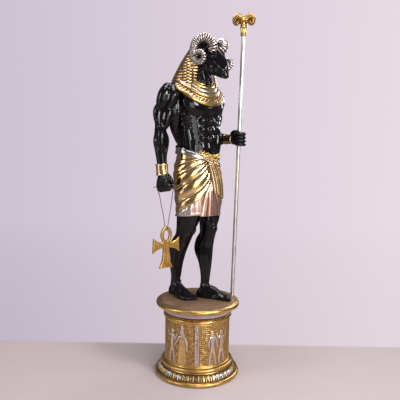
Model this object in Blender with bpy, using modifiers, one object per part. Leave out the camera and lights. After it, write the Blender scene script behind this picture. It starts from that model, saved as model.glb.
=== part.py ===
# Standing ram headed figure with a tall staff, on a round plinth with carved panels.
# Metres, +Z up, origin at the centre of the plinth's underside. The figure faces -Y and its right
# hand is on -X. Pose and proportions of the figure are shares of its own height.
import math

import bmesh
import bpy
from mathutils import Matrix, Vector

# Plinth
PLINTH_HEIGHT = 0.500
SLAB_RADIUS = 0.281
SLAB_THICKNESS = 0.032
DRUM_RADIUS = 0.2155
DRUM_BOTTOM = 0.107
DRUM_TOP = 0.391
BEAD_BOTTOM = 0.413
BEAD_TOP = 0.429
FOOT_RADIUS = 0.288
FOOT_ROLL_HEIGHT = 0.0265
LEAF_BAND_TOP = 0.071
PANELS = 4
STRIP_WIDTH = 0.033
RELIEF_PROUD = 0.005
LEAVES = 20
PLINTH_STEPS = 30

# Figure, soles to the tops of the horns, and its fits
FIGURE_HEIGHT = 1.760
SEAT_GAP = 0.0003
HOLE_CLEARANCE = 0.0003
VOXEL_SHARE = 0.0024
FIGURE_FACES = 0.0066
HORN_RIBS = 20
KILT_FOLDS = 10

# Staff, its finial, the hanging cross and the cord
ROD_DIAMETER = 0.025
ROD_LENGTH = 1.785
SOCKET_DEPTH = 0.030
FINIAL_HEIGHT = 0.148
CROSS_HEIGHT = 0.275
CROSS_THICKNESS = 0.018
CORD_DIAMETER = 0.005

U = FIGURE_HEIGHT / 176.0
SOLE = PLINTH_HEIGHT + SEAT_GAP

for old in list(bpy.data.objects):
    bpy.data.objects.remove(old, do_unlink=True)


def paint(name, colour, metallic, rough):
    m = bpy.data.materials.new(name)
    m.use_nodes = True
    b = m.node_tree.nodes["Principled BSDF"]
    b.inputs["Base Color"].default_value = (*colour, 1.0)
    b.inputs["Metallic"].default_value = metallic
    b.inputs["Roughness"].default_value = rough
    return m


def body(name, verts, faces):
    mesh = bpy.data.meshes.new(name)
    mesh.from_pydata([tuple(v) for v in verts], [], faces)
    bm = bmesh.new()
    bm.from_mesh(mesh)
    bmesh.ops.recalc_face_normals(bm, faces=bm.faces)
    bm.to_mesh(mesh)
    bm.free()
    ob = bpy.data.objects.new(name, mesh)
    bpy.context.scene.collection.objects.link(ob)
    return ob


def loft(name, rings):
    """Closed skin over rings of equal length, with a flat cap at each end."""
    n = len(rings[0])
    verts = [p for r in rings for p in r]
    faces = [list(range(n)), [(len(rings) - 1) * n + i for i in range(n)]]
    for j in range(len(rings) - 1):
        for i in range(n):
            k = (i + 1) % n
            faces.append([j * n + i, j * n + k, (j + 1) * n + k, (j + 1) * n + i])
    return body(name, verts, faces)


def oval(centre, side, up, a, b, n, power=2.0):
    ring = []
    for i in range(n):
        t = 2 * math.pi * i / n
        c, s = math.cos(t), math.sin(t)
        e = 2.0 / power
        x = math.copysign(abs(c) ** e, c) * a
        y = math.copysign(abs(s) ** e, s) * b
        ring.append(centre + side * x + up * y)
    return ring


def fig(x, y, z):
    """A place on the figure from its shares of the height, x to its left, y back, z up."""
    return Vector((x * U, y * U, SOLE + z * U))


def turned(angle):
    """Unit vectors to the figure's left and to the back after a turn about +Z, in degrees."""
    a = math.radians(angle)
    return Vector((math.cos(a), math.sin(a), 0)), Vector((-math.sin(a), math.cos(a), 0))


def limb(name, stations, angle=0.0, n=16, power=2.0):
    """Tube square to its route. Stations are x, y, z, half width, half depth."""
    pts = [fig(*s[:3]) for s in stations]
    side, back = turned(angle)
    rings = []
    for i, p in enumerate(pts):
        run = (pts[min(i + 1, len(pts) - 1)] - pts[max(i - 1, 0)]).normalized()
        across = (side - run * side.dot(run)).normalized()
        up = run.cross(across)
        rings.append(oval(p, across, up, stations[i][3] * U, stations[i][4] * U, n, power))
    return loft(name, rings)


def slab(name, stations, angle=0.0, n=24, power=2.3):
    """Skin over level ovals. Stations are x, y, z, half width, half depth."""
    side, back = turned(angle)
    rings = [oval(fig(*s[:3]), side, back, s[3] * U, s[4] * U, n, power) for s in stations]
    return loft(name, rings)


def ball(name, place, radii, angle=0.0, tilt=0.0, roll=0.0):
    mesh = bpy.data.meshes.new(name)
    bm = bmesh.new()
    bmesh.ops.create_uvsphere(bm, u_segments=16, v_segments=10, radius=1.0)
    grow = Matrix.Diagonal((radii[0] * U, radii[1] * U, radii[2] * U, 1.0))
    turn = (
        Matrix.Rotation(math.radians(angle), 4, "Z")
        @ Matrix.Rotation(math.radians(tilt), 4, "X")
        @ Matrix.Rotation(math.radians(roll), 4, "Y")
    )
    bmesh.ops.transform(bm, matrix=Matrix.Translation(fig(*place)) @ turn @ grow, verts=bm.verts)
    bm.to_mesh(mesh)
    bm.free()
    ob = bpy.data.objects.new(name, mesh)
    bpy.context.scene.collection.objects.link(ob)
    return ob


def gather(name, parts):
    """One mesh object holding every part; the parts themselves are removed."""
    bm = bmesh.new()
    for p in parts:
        bm.from_mesh(p.data)
    mesh = bpy.data.meshes.new(name)
    bm.to_mesh(mesh)
    bm.free()
    for p in parts:
        bpy.data.objects.remove(p, do_unlink=True)
    ob = bpy.data.objects.new(name, mesh)
    bpy.context.scene.collection.objects.link(ob)
    return ob


def tool(ob):
    ob.hide_render = True
    ob.display_type = "WIRE"
    return ob


def combine(ob, other, how):
    m = ob.modifiers.new(how.lower() + " " + other.name, "BOOLEAN")
    m.operation = how
    m.solver = "EXACT"
    m.object = tool(other)
    return m


def smooth_route(points, count):
    """Even points along a smooth curve through the given ones."""
    pts = [Vector(p) for p in points]
    fine = []
    for i in range(len(pts) - 1):
        p0 = pts[max(i - 1, 0)]
        p1 = pts[i]
        p2 = pts[i + 1]
        p3 = pts[min(i + 2, len(pts) - 1)]
        for k in range(24):
            t = k / 24
            fine.append(
                0.5
                * (
                    2 * p1
                    + (p2 - p0) * t
                    + (2 * p0 - 5 * p1 + 4 * p2 - p3) * t * t
                    + (3 * p1 - p0 - 3 * p2 + p3) * t * t * t
                )
            )
    fine.append(pts[-1])
    run = [0.0]
    for a, b in zip(fine, fine[1:]):
        run.append(run[-1] + (b - a).length)
    out = []
    j = 0
    for i in range(count):
        want = run[-1] * i / (count - 1)
        while j < len(run) - 2 and run[j + 1] < want:
            j += 1
        f = (want - run[j]) / max(run[j + 1] - run[j], 1e-9)
        out.append(fine[j].lerp(fine[j + 1], min(f, 1.0)))
    return out


# Legs and feet: the left leg is set forward, the right one back with its shin sloped.
LEFT_LEG = [
    (5.5, -1.7, 3.0, 3.3, 4.2), (5.5, -1.4, 9.0, 3.0, 3.7), (5.8, -1.6, 15.0, 3.4, 4.0),
    (6.1, -0.8, 22.0, 4.5, 5.1), (6.4, 0.4, 30.0, 5.7, 6.3), (6.8, 0.4, 36.0, 5.9, 6.3),
    (7.2, -1.8, 43.0, 5.4, 5.9), (7.5, -2.6, 47.0, 5.6, 6.1), (8.0, -2.0, 54.0, 6.4, 6.7),
    (8.6, -1.0, 64.0, 8.0, 8.2), (9.0, 0.0, 76.0, 9.0, 9.3), (9.0, 1.0, 90.0, 9.4, 10.0),
]
RIGHT_LEG = [
    (-3.6, 18.0, 3.0, 3.3, 4.2), (-3.8, 17.2, 9.0, 3.0, 3.7), (-4.3, 16.6, 15.0, 3.3, 3.8),
    (-5.1, 15.8, 22.0, 4.3, 4.8), (-6.0, 13.6, 30.0, 5.5, 5.9), (-6.7, 10.8, 36.0, 6.1, 6.4),
    (-7.3, 6.6, 43.0, 6.0, 6.3), (-7.6, 4.4, 47.0, 6.1, 6.4), (-8.0, 2.8, 54.0, 6.9, 7.1),
    (-8.5, 1.8, 64.0, 8.3, 8.4), (-9.0, 1.5, 76.0, 9.2, 9.5), (-9.0, 2.0, 90.0, 9.4, 10.0),
]
FOOT = [
    (0.0, 1.6, 2.6), (0.9, 2.7, 5.2), (3.0, 3.3, 7.6), (6.0, 3.4, 9.6), (9.5, 3.5, 9.0),
    (13.0, 3.9, 6.9), (16.5, 4.4, 5.2), (19.5, 4.7, 3.9), (22.0, 4.5, 3.0), (24.0, 3.9, 2.4),
]
TOES = [
    (23.6, 3.0, 1.9, 2.6, 1.55), (23.4, 1.0, 1.3, 2.3, 1.25), (22.6, -0.8, 1.2, 2.1, 1.15),
    (21.5, -2.5, 1.15, 2.0, 1.05), (20.0, -4.0, 1.1, 1.9, 0.95),
]


def foot(name, heel, angle, inner):
    """Foot along its own line from the heel; the sole runs below the plinth top and is cut off."""
    side, back = turned(angle)
    rings = []
    for d, w, h in FOOT:
        c = fig(heel[0], heel[1], h / 2 - 0.4) - back * d * U
        rings.append(oval(c, side, Vector((0, 0, 1)), w * U, (h / 2 + 0.4) * U, 14, 2.6))
    parts = [loft(name, rings)]
    for i, (d, off, w, long, h) in enumerate(TOES):
        p = Vector((heel[0], heel[1], 0)) - back * d + side * off * inner
        parts.append(ball(f"{name} toe {i}", (p.x, p.y, h * 0.7), (w, long, h), angle))
    return parts


def upright_oval(stations, n=14):
    """Rings across the head. Stations are front and back points in the mid plane, half width."""
    side, back = turned(HEAD_TURN)
    origin = Vector((0.0, 4.0, 0.0))
    rings = []
    for fs, fz, bs, bz, w in stations:
        f = origin - back * fs
        b = origin - back * bs
        front = fig(f.x, f.y, fz)
        rear = fig(b.x, b.y, bz)
        mid = (front + rear) / 2
        half = (front - rear) / 2
        rings.append(oval(mid, side, half.normalized(), w * U, half.length, n))
    return rings


def head_place(s, t, z):
    """Place ahead of the neck by s, out to the figure's right by t, at height z."""
    side, back = turned(HEAD_TURN)
    p = Vector((0.0, 4.0, 0.0)) - back * s - side * t
    return (p.x, p.y, z)


HEAD_TURN = 6.0
CHEST_TURN = -8.0
HEAD = [
    (-1.0, 164.0, -1.0, 157.0, 3.5), (3.0, 168.6, 1.0, 154.0, 6.2), (9.0, 170.0, 5.5, 150.5, 6.8),
    (14.0, 167.4, 9.0, 149.2, 6.8), (16.4, 164.2, 11.8, 148.8, 6.2),
    (18.4, 161.2, 14.2, 148.0, 5.2), (20.6, 157.8, 16.4, 147.0, 4.3),
    (22.2, 154.5, 18.2, 146.0, 3.8), (23.2, 151.2, 19.8, 145.4, 3.5),
    (23.4, 149.0, 21.4, 145.8, 2.7), (22.9, 147.9, 22.0, 146.7, 1.4),
]
HORN = [
    (16.2, 4.6, 161.5), (17.3, 5.6, 164.2), (16.8, 6.8, 167.6), (15.4, 8.3, 170.3),
    (12.6, 9.7, 171.7), (9.7, 10.6, 170.9), (7.6, 11.5, 168.8), (6.9, 12.3, 165.8),
    (6.8, 13.0, 162.4), (7.2, 13.6, 159.4), (8.4, 14.1, 156.7), (10.8, 14.5, 154.8),
    (13.7, 14.9, 154.5), (15.9, 15.3, 156.0), (16.3, 15.7, 158.2), (14.9, 16.1, 159.9),
    (12.6, 16.4, 160.2), (10.4, 16.7, 159.6), (8.4, 17.0, 158.8),
]


def horn(name, mirror):
    pts = []
    for s, t, z in HORN:
        x, y, h = head_place(s, t * mirror, z)
        pts.append(fig(x, y, h))
    count = HORN_RIBS * 2 + 1
    route = smooth_route(pts, count)
    side, back = turned(HEAD_TURN)
    rings = []
    for i, p in enumerate(route):
        run = (route[min(i + 1, count - 1)] - route[max(i - 1, 0)]).normalized()
        out = side * -mirror
        out = (out - run * out.dot(run)).normalized()
        f = i / (count - 1)
        size = 2.75 - 0.9 * f - 1.0 * max(0.0, (f - 0.72) / 0.28)
        size *= 1.0 if i % 2 else 0.87
        rings.append(oval(p, run.cross(out), out, size * U, size * 0.88 * U, 6))
    return loft(name, rings)


def edge_height(angle, front, side, rear):
    """Height of a draped edge from its height at the front, the sides and the back."""
    c = math.cos(angle)
    if c > 0:
        return side + (front - side) * c ** 1.3
    return side + (rear - side) * (-c) ** 1.3


def draped(name, turn, centre, rows, n):
    """Skin over rings whose height changes round the body.
    Rows are half width, half depth, height in front, at the sides, at the back."""
    side, back = turned(turn)
    rings = []
    for a, b, front, flank, rear in rows:
        ring = []
        for i in range(n):
            t = 2 * math.pi * i / n
            z = edge_height(t, front, flank, rear)
            p = fig(centre[0], centre[1], z) - back * b * U * math.cos(t) + side * a * U * math.sin(t)
            ring.append(p)
        rings.append(ring)
    return loft(name, rings)


def kilt(name):
    """Wrap whose pleats sweep from the knot in front down round the figure's right hip."""
    rows = [
        (96.5, 2.3, 15.2, 12.0), (92.0, 2.4, 16.8, 13.3), (86.0, 2.2, 17.8, 14.1),
        (79.5, 1.6, 18.1, 14.3), (72.0, 1.1, 17.7, 14.2), (64.5, 0.8, 16.9, 14.0), (57.0, 0.6, 16.0, 13.5),
    ]
    rings = []
    n = KILT_FOLDS * 4
    for z, y, a, b in rows:
        ring = []
        for i in range(n):
            t = 2 * math.pi * (i / n - (96.5 - z) / 11.0 / KILT_FOLDS)
            fold = (0.5, 0.0, -0.5, 0.1)[i % 4]
            grow = 1.0 + 0.045 * fold * min(1.0, 0.25 + (96.5 - z) / 10.0)
            ring.append(fig(math.sin(t) * a * grow, y - math.cos(t) * b * grow, z))
        rings.append(ring)
    return loft(name, rings)


parts = []
parts.append(limb("left leg", LEFT_LEG, -12.0))
parts.append(limb("right leg", RIGHT_LEG, 6.0))
parts += foot("left foot", (3.0, 4.0), 24.0, -1.0)
parts += foot("right foot", (-2.9, 23.3), -9.0, 1.0)
parts.append(ball("left knee", (7.5, -7.2, 47.5), (3.2, 2.4, 3.6)))
parts.append(ball("right knee", (-7.9, -0.6, 47.5), (3.2, 2.6, 3.6)))

# Trunk: level ovals from the hips to the neck, with the chest, back and shoulder masses on it.
parts.append(slab("trunk", [
    (0, 2.0, 86, 15.5, 12.0), (0, 2.1, 94, 15.2, 11.6), (0, 2.2, 99, 14.4, 10.9),
    (0, 2.3, 104, 14.0, 10.6), (0, 2.6, 109, 14.4, 10.8), (0, 3.2, 114, 15.6, 11.4),
    (0, 4.2, 120, 17.2, 12.2), (0, 4.4, 126, 18.4, 12.4), (0, 4.6, 131, 18.4, 11.8),
    (0, 5.2, 136, 17.2, 10.2), (0, 5.6, 140, 13.6, 8.6), (0, 5.5, 143, 10.0, 7.6),
], CHEST_TURN))
parts.append(ball("right breast", (-9.8, -4.0, 127.8), (8.8, 4.2, 6.0), -22.0))
parts.append(ball("left breast", (8.2, -6.4, 127.8), (8.8, 4.2, 6.0), 6.0))
parts.append(ball("right flank", (-14.6, 7.0, 122.0), (4.2, 5.4, 11.0)))
parts.append(ball("left flank", (14.8, 3.2, 122.0), (4.2, 5.4, 11.0)))
for row, (z, w, y) in enumerate(((117.6, 3.2, -6.6), (111.6, 3.0, -6.9), (105.8, 2.8, -7.2))):
    parts.append(ball(f"right belly {row}", (-3.9, y + 0.3, z), (w, 1.5, 2.9), CHEST_TURN - 6))
    parts.append(ball(f"left belly {row}", (2.1, y - 0.5, z), (w, 1.5, 2.9), CHEST_TURN + 6))
parts.append(ball("right shoulder", (-21.6, 8.8, 134.8), (5.8, 6.2, 7.8)))
parts.append(ball("left shoulder", (21.2, 3.4, 134.8), (5.6, 6.0, 7.8)))
parts.append(limb("yoke", [
    (-20.5, 8.6, 137.5, 4.2, 4.2), (-12, 7.8, 140.5, 5.6, 4.4), (0, 6.6, 142.5, 6.6, 5.2),
    (12, 4.6, 140.5, 5.6, 4.4), (20.3, 3.4, 137.5, 4.2, 4.2),
], 90.0))
parts.append(limb("neck", [
    (0, 4.4, 138, 8.6, 8.0), (0.2, 2.6, 145, 7.4, 7.6), (0.4, 0.6, 151, 7.0, 7.4),
    (0.5, -1.5, 157, 6.8, 7.2),
]))
parts.append(limb("right arm", [
    (-21.5, 8.4, 138, 4.6, 5.0), (-22.7, 9.2, 132, 5.2, 5.8), (-24.2, 10.6, 125, 4.6, 5.2),
    (-25.1, 11.2, 118, 4.3, 4.7), (-25.6, 11.4, 112.6, 4.0, 4.4), (-25.9, 11.2, 108.5, 4.6, 4.8),
    (-25.9, 10.9, 105, 4.9, 5.1), (-25.9, 10.3, 98, 4.3, 4.5), (-25.7, 9.7, 92.5, 3.3, 3.6),
    (-25.6, 9.2, 87, 3.0, 3.5), (-25.5, 8.5, 82, 3.1, 4.2),
]))
parts.append(limb("left upper arm", [
    (21.2, 3.0, 138, 4.6, 5.0), (21.9, 4.4, 132, 5.2, 5.8), (22.3, 7.8, 125, 4.6, 5.2),
    (22.5, 11.2, 117, 4.3, 4.7), (22.5, 14.2, 111, 4.1, 4.4), (22.5, 15.4, 107.5, 3.2, 3.4),
]))
parts.append(limb("left forearm", [
    (22.5, 16.6, 108.0, 3.4, 3.6), (22.5, 13.0, 108.2, 4.3, 4.5), (22.4, 8.0, 108.4, 4.5, 4.6),
    (22.2, 3.0, 108.5, 4.0, 4.1), (21.9, -2.0, 108.4, 3.3, 3.4), (21.6, -7.0, 108.2, 2.8, 3.0),
    (21.3, -11.0, 108.2, 3.0, 3.4),
], 0.0))

# Fists, bracelets
parts.append(ball("right palm", (-25.4, 7.9, 81.0), (2.8, 4.9, 5.6)))
parts.append(ball("right grip", (-24.6, 7.7, 77.2), (2.6, 5.2, 3.2)))
for k, y in enumerate((11.4, 9.1, 6.7, 4.3)):
    d = 0.35 * k
    parts.append(limb(f"right finger {k}", [
        (-26.7, y, 80.0, 1.25, 1.3), (-27.2, y, 77.0 + d, 1.25, 1.3), (-26.2, y, 74.4 + d, 1.25, 1.25),
        (-24.1, y, 73.6 + d, 1.2, 1.25), (-22.5, y, 75.2 + d, 1.15, 1.2), (-22.3, y, 77.6 + d, 1.0, 1.1),
    ], 90.0, 10))
parts.append(limb("right thumb", [
    (-24.9, 5.1, 84.0, 1.8, 1.9), (-23.7, 2.9, 81.4, 1.5, 1.6), (-22.3, 2.5, 78.2, 1.2, 1.3),
    (-21.7, 3.3, 76.4, 0.9, 0.9),
], 0.0, 10))
parts.append(ball("left palm", (22.8, -13.2, 108.3), (2.7, 4.4, 4.8), -12.0))
parts.append(ball("left grip", (20.9, -15.6, 108.2), (3.0, 3.0, 4.6)))
for k, z in enumerate((111.9, 109.6, 107.3, 105.0)):
    parts.append(limb(f"left finger {k}", [
        (24.4, -13.4, z, 1.3, 1.25), (24.2, -16.6, z, 1.3, 1.25), (22.4, -19.0, z, 1.25, 1.25),
        (19.8, -19.2, z, 1.2, 1.2), (18.0, -17.4, z, 1.15, 1.15), (18.0, -15.2, z, 1.0, 1.05),
    ], 0.0, 10))
parts.append(limb("left thumb", [
    (20.2, -11.4, 111.4, 1.7, 1.6), (18.2, -13.4, 112.9, 1.45, 1.4), (17.7, -16.0, 113.0, 1.3, 1.2),
    (18.4, -18.0, 112.8, 0.9, 0.9),
], 0.0, 10))
parts.append(limb("right bracelet", [
    (-25.8, 9.7, 91.3, 3.8, 4.1), (-25.7, 9.6, 90.6, 4.0, 4.3), (-25.5, 9.4, 84.6, 3.9, 4.3),
    (-25.4, 9.3, 83.9, 3.7, 4.1),
]))
parts.append(limb("left bracelet", [
    (21.75, -3.6, 108.3, 3.3, 3.4), (21.7, -4.3, 108.3, 3.5, 3.6), (21.4, -10.0, 108.2, 3.4, 3.5),
    (21.35, -10.7, 108.2, 3.2, 3.3),
], 0.0))

# Kilt, belt, the underskirt and sash in front
wrap = kilt("kilt")
belt = draped("belt", 0.0, (0, 2.2), [
    (15.0, 11.6, 97.4, 102.0, 101.4), (16.2, 12.8, 96.8, 101.6, 101.0),
    (16.9, 13.6, 93.4, 98.6, 98.0), (15.4, 12.0, 92.8, 97.6, 97.0),
], 24)
front = gather("front cloth", [
    limb("underskirt", [
        (1.0, -10.2, 92, 2.0, 2.0), (0.4, -11.8, 83, 3.8, 2.0), (-0.2, -12.2, 70, 6.6, 2.0),
        (-0.6, -12.0, 56.6, 9.0, 2.0),
    ], 0.0, 12, 3.0),
])
sash = limb("sash", [
    (1.2, -12.0, 94.5, 2.6, 1.8), (2.4, -12.9, 86, 2.9, 1.6), (3.9, -13.2, 78, 3.2, 1.5),
    (5.2, -12.9, 69.5, 3.4, 1.4),
], 8.0, 12, 3.0)
knot = ball("knot", (0.8, -11.4, 95.2), (6.4, 2.2, 3.2), 4.0)

# Head: skull to muzzle, cheeks, brows and ears inside the horns
parts.append(loft("head", upright_oval(HEAD)))
for m in (1.0, -1.0):
    parts.append(ball(f"cheek {m}", head_place(12.0, 4.7 * m, 153.6), (2.6, 4.6, 4.6), HEAD_TURN))
    parts.append(ball(f"brow {m}", head_place(15.2, 4.3 * m, 161.4), (2.0, 2.5, 1.8), HEAD_TURN, 35.0))
    parts.append(ball(f"ear {m}", head_place(10.8, 7.4 * m, 165.4), (2.0, 2.9, 4.2), HEAD_TURN + 8 * m,
                      -20.0, 24.0 * m))
    parts.append(ball(f"muzzle {m}", head_place(20.9, 1.5 * m, 148.6), (2.1, 2.7, 2.8), HEAD_TURN))

# Headdress with its two lappets, and the broad collar over the shoulders
hood = []
for s, z, a, b in (
    (3.5, 172.0, 3.4, 4.0), (2.6, 170.2, 5.8, 6.6), (2.0, 166.5, 7.6, 8.2), (0.8, 162.0, 9.0, 9.4),
    (-0.6, 157.0, 10.6, 10.0), (-1.9, 152.0, 12.2, 10.2), (-2.8, 147.5, 13.6, 10.4),
    (-3.2, 143.5, 14.8, 10.4), (-3.0, 139.0, 14.4, 9.4),
):
    x, y, h = head_place(s, 0.0, z)
    hood.append((x, y, h, a, b))
parts.append(slab("hood", hood, HEAD_TURN, 24, 2.2))
for m in (1.0, -1.0):
    lap = []
    for s, t, z, a, b in (
        (5.2, 8.6, 159.0, 2.6, 3.0), (5.6, 9.6, 152.0, 3.2, 3.2), (6.2, 10.4, 146.0, 3.8, 3.2),
        (7.4, 11.0, 141.0, 4.2, 2.8), (8.4, 11.2, 137.5, 4.0, 1.8),
    ):
        x, y, h = head_place(s - 1.2 * (1 + m) / 2, t * m, z)
        lap.append((x, y, h, a, b))
    parts.append(slab(f"lappet {m}", lap, HEAD_TURN, 14, 3.0))
parts.append(draped("collar", CHEST_TURN, (0, 4.0), [
    (8.0, 8.2, 146.0, 149.0, 149.0), (11.5, 11.0, 140.5, 146.5, 146.5),
    (16.0, 13.8, 134.5, 144.3, 143.0), (19.6, 15.4, 129.2, 141.0, 138.0),
    (19.8, 15.6, 128.4, 140.0, 137.0), (16.0, 12.0, 127.8, 137.0, 135.0),
    (8.0, 6.0, 128.0, 136.0, 134.0),
], 40))

figure = gather("figure", parts)
m = figure.modifiers.new("one casting", "REMESH")
m.mode = "VOXEL"
m.voxel_size = VOXEL_SHARE * FIGURE_HEIGHT
m = figure.modifiers.new("soften", "SMOOTH")
m.factor = 0.5
m.iterations = 3
m = figure.modifiers.new("facets", "DECIMATE")
m.ratio = FIGURE_FACES
m.use_collapse_triangulate = True
for piece in (wrap, belt, front, sash, knot):
    combine(figure, piece, "UNION")
combine(figure, horn("right horn", 1.0), "UNION")
combine(figure, horn("left horn", -1.0), "UNION")

# Rod: it stands on the slab beside the left foot and leans a little with the hand that holds it.
rod_foot = Vector((19.6 * U, -14.2 * U, SOLE))
rod_run = Vector((2.15, -2.55, 175.0)).normalized()
rod_side = Vector((1, 0, 0))
rod_side = (rod_side - rod_run * rod_side.dot(rod_run)).normalized()
rod_up = rod_run.cross(rod_side)
lift = ROD_DIAMETER / 2 * math.hypot(rod_run.x, rod_run.y)


def bar(name, start, end, radius, n=16):
    ends = [rod_foot + rod_run * start, rod_foot + rod_run * end]
    return loft(name, [oval(p, rod_side, rod_up, radius, radius, n) for p in ends])


staff_rod = bar("staff_rod", lift, ROD_LENGTH, ROD_DIAMETER / 2)
grip = (108.3 * U) / rod_run.z
combine(figure, bar("grip bore", grip - 12 * U, grip + 12 * U, ROD_DIAMETER / 2 + HOLE_CLEARANCE),
        "DIFFERENCE")

# Cord: a loose end behind the fist, through the fist, down to the cross, back up and out in front.
BORE_BACK = (-24.7, 13.1, 76.4)
BORE_FRONT = (-24.0, 2.1, 78.2)
CROSS_TOP = (-24.1, 6.6, 51.2)
GAUGE = CORD_DIAMETER * 0.72


def cord_route():
    back = fig(*BORE_BACK)
    front = fig(*BORE_FRONT)
    run = (front - back).normalized()
    flat = Vector((0, 0, 1)).cross(run).normalized()
    a = flat * GAUGE
    eye = fig(*CROSS_TOP)
    face = turned(CROSS_TURN)[1]
    drop = Vector((0, 0, 1))
    bar = CROSS_BAR * CROSS_HEIGHT / 27.5
    sink = bar * 0.62
    bend = math.hypot(CROSS_THICKNESS / 2, bar - sink) + CORD_DIAMETER / 2 + SEAT_GAP + BEND_SLACK
    loop = [eye - drop * (sink + bend * math.sin(t)) - face * bend * math.cos(t)
            for t in (math.pi * k / 6 for k in range(7))]
    return [
        back + a - run * 5.4 * U + drop * 0.1 * U,
        back + a - run * 2.4 * U,
        back + a + run * 1.0 * U,
        back.lerp(front, 0.5) + a,
        front + a - run * 1.0 * U,
        front + a + run * 0.9 * U - drop * 0.25 * U,
        front + a + run * 1.0 * U - drop * 2.2 * U,
        fig(-24.0, 1.7, 70.5),
        fig(-24.1, 2.7, 64.0),
        fig(-24.2, 4.1, 57.0),
        *loop,
        fig(-24.2, 9.2, 57.5),
        fig(-24.5, 11.2, 65.0),
        fig(-24.8, 12.7, 71.5),
        back - a - run * 1.1 * U - drop * 2.0 * U,
        back - a - run * 0.9 * U - drop * 0.2 * U,
        back - a + run * 1.0 * U,
        back.lerp(front, 0.5) - a,
        front - a - run * 1.0 * U,
        front - a + run * 1.8 * U - drop * 0.1 * U,
        front - a + run * 2.9 * U - drop * 1.6 * U,
        front - a + run * 2.7 * U - drop * 4.8 * U,
    ]


CROSS_TURN = -13.0
CROSS_BAR = 1.8
BEND_SLACK = 0.0016
CORD_STEPS = 54
route = smooth_route(cord_route(), CORD_STEPS)
curve = bpy.data.curves.new("ankh_cord", "CURVE")
curve.dimensions = "3D"
curve.bevel_depth = CORD_DIAMETER / 2
curve.bevel_resolution = 2
curve.use_fill_caps = True
line = curve.splines.new("POLY")
line.points.add(CORD_STEPS - 1)
for point, place in zip(line.points, route):
    point.co = (*place, 1.0)
ankh_cord = bpy.data.objects.new("ankh_cord", curve)
bpy.context.scene.collection.objects.link(ankh_cord)

bore_run = fig(*BORE_FRONT) - fig(*BORE_BACK)
bore_len = bore_run.length / 2 + 3 * U
bore_mid = (fig(*BORE_FRONT) + fig(*BORE_BACK)) / 2
bore_run.normalize()
bore_flat = Vector((0, 0, 1)).cross(bore_run).normalized()
bore_up = bore_run.cross(bore_flat)
half_w = GAUGE + CORD_DIAMETER / 2 + HOLE_CLEARANCE * 2
half_h = CORD_DIAMETER / 2 + HOLE_CLEARANCE * 2
rings = []
for e in (-bore_len, bore_len):
    c = bore_mid + bore_run * e
    rings.append([c + bore_flat * half_w * sx + bore_up * half_h * sy
                  for sx, sy in ((-1, -1), (1, -1), (1, 1), (-1, 1))])
combine(figure, loft("cord bore", rings), "DIFFERENCE")

sole = fig(0, 0, 0)
w = FIGURE_HEIGHT * 0.3
rings = [[Vector((sx * w, sy * w, SOLE + h)) for sx, sy in ((-1, -1), (1, -1), (1, 1), (-1, 1))]
         for h in (-0.04, 0.0)]
combine(figure, loft("sole cut", rings), "DIFFERENCE")

# Finial: a small ram's head with curled horns on a flared socket that the rod enters.
F = FINIAL_HEIGHT / 14.8
seat = rod_foot + rod_run * (ROD_LENGTH - SOCKET_DEPTH)
face_side, face_back = turned(-56.0)


def fin(x, y, z):
    """Across the small head, toward its face, and up along the rod."""
    return seat + face_side * x * F - face_back * y * F + rod_run * z * F


def fin_ring(z, a, b, y=0.0, n=16, power=2.0):
    return oval(fin(0, y, z), face_side, face_back, a * F, b * F, n, power)


bore = ROD_DIAMETER / 2 + HOLE_CLEARANCE
wall = max(0.55 * F, 0.003)
skin = [
    fin_ring(0.0, 1.0, 1.0), fin_ring(0.9, 1.0, 1.0), fin_ring(1.0, 1.0, 1.0),
    fin_ring(3.0, 1.0, 1.0), fin_ring(5.0, 1.0, 1.0), fin_ring(6.4, 1.0, 1.0),
]
radii = (bore + wall, bore + wall, bore + wall * 0.75, bore + wall * 1.1, bore + wall * 1.8,
         bore + wall * 1.9)
heights = (0.0, 0.8, 1.0, 3.0, 5.0, 6.4)
rings = [oval(fin(0, 0, h), face_side, face_back, r, r, 16) for h, r in zip(heights, radii)]
staff_finial = loft("staff_finial", rings)
rings = [
    fin_ring(4.6, 1.4, 1.6, 1.6), fin_ring(5.4, 2.2, 2.4, 1.5), fin_ring(7.0, 2.6, 3.4, 1.1),
    fin_ring(9.0, 3.0, 3.5, 0.4), fin_ring(10.8, 2.8, 3.1, -0.2), fin_ring(12.0, 1.7, 2.0, -0.4),
]
combine(staff_finial, loft("small skull", rings), "UNION")
for m in (1.0, -1.0):
    pts = [fin(x * m, y, z) for x, y, z in (
        (1.4, 0.6, 10.6), (2.6, 0.7, 12.2), (4.4, 0.4, 13.2), (6.1, 0.0, 12.2), (6.7, -0.3, 10.2),
        (6.2, -0.3, 8.2), (4.9, 0.0, 7.3), (3.9, 0.5, 8.3), (4.3, 0.9, 9.7),
    )]
    curl = smooth_route(pts, 11)
    rings = []
    for i, p in enumerate(curl):
        run = (curl[min(i + 1, 10)] - curl[max(i - 1, 0)]).normalized()
        out = (-face_back - run * (-face_back).dot(run)).normalized()
        size = (1.62 - 0.75 * i / 10) * (1.0 if i % 2 else 0.86) * F
        rings.append(oval(p, run.cross(out), out, size, size, 6))
    combine(staff_finial, loft(f"small horn {m}", rings), "UNION")
rings = [oval(seat + rod_run * h, rod_side, rod_up, bore, bore, 16)
         for h in (-0.02, SOCKET_DEPTH + SEAT_GAP)]
combine(staff_finial, loft("socket bore", rings), "DIFFERENCE")

# Cross with an eye at the top: a flat casting with flared arms.
C = CROSS_HEIGHT / 27.5
cross_side, cross_back = turned(CROSS_TURN)
cross_top = fig(*CROSS_TOP)


def cross_point(x, z, y):
    return cross_top + cross_side * x * C + Vector((0, 0, z * C)) + cross_back * y


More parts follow.
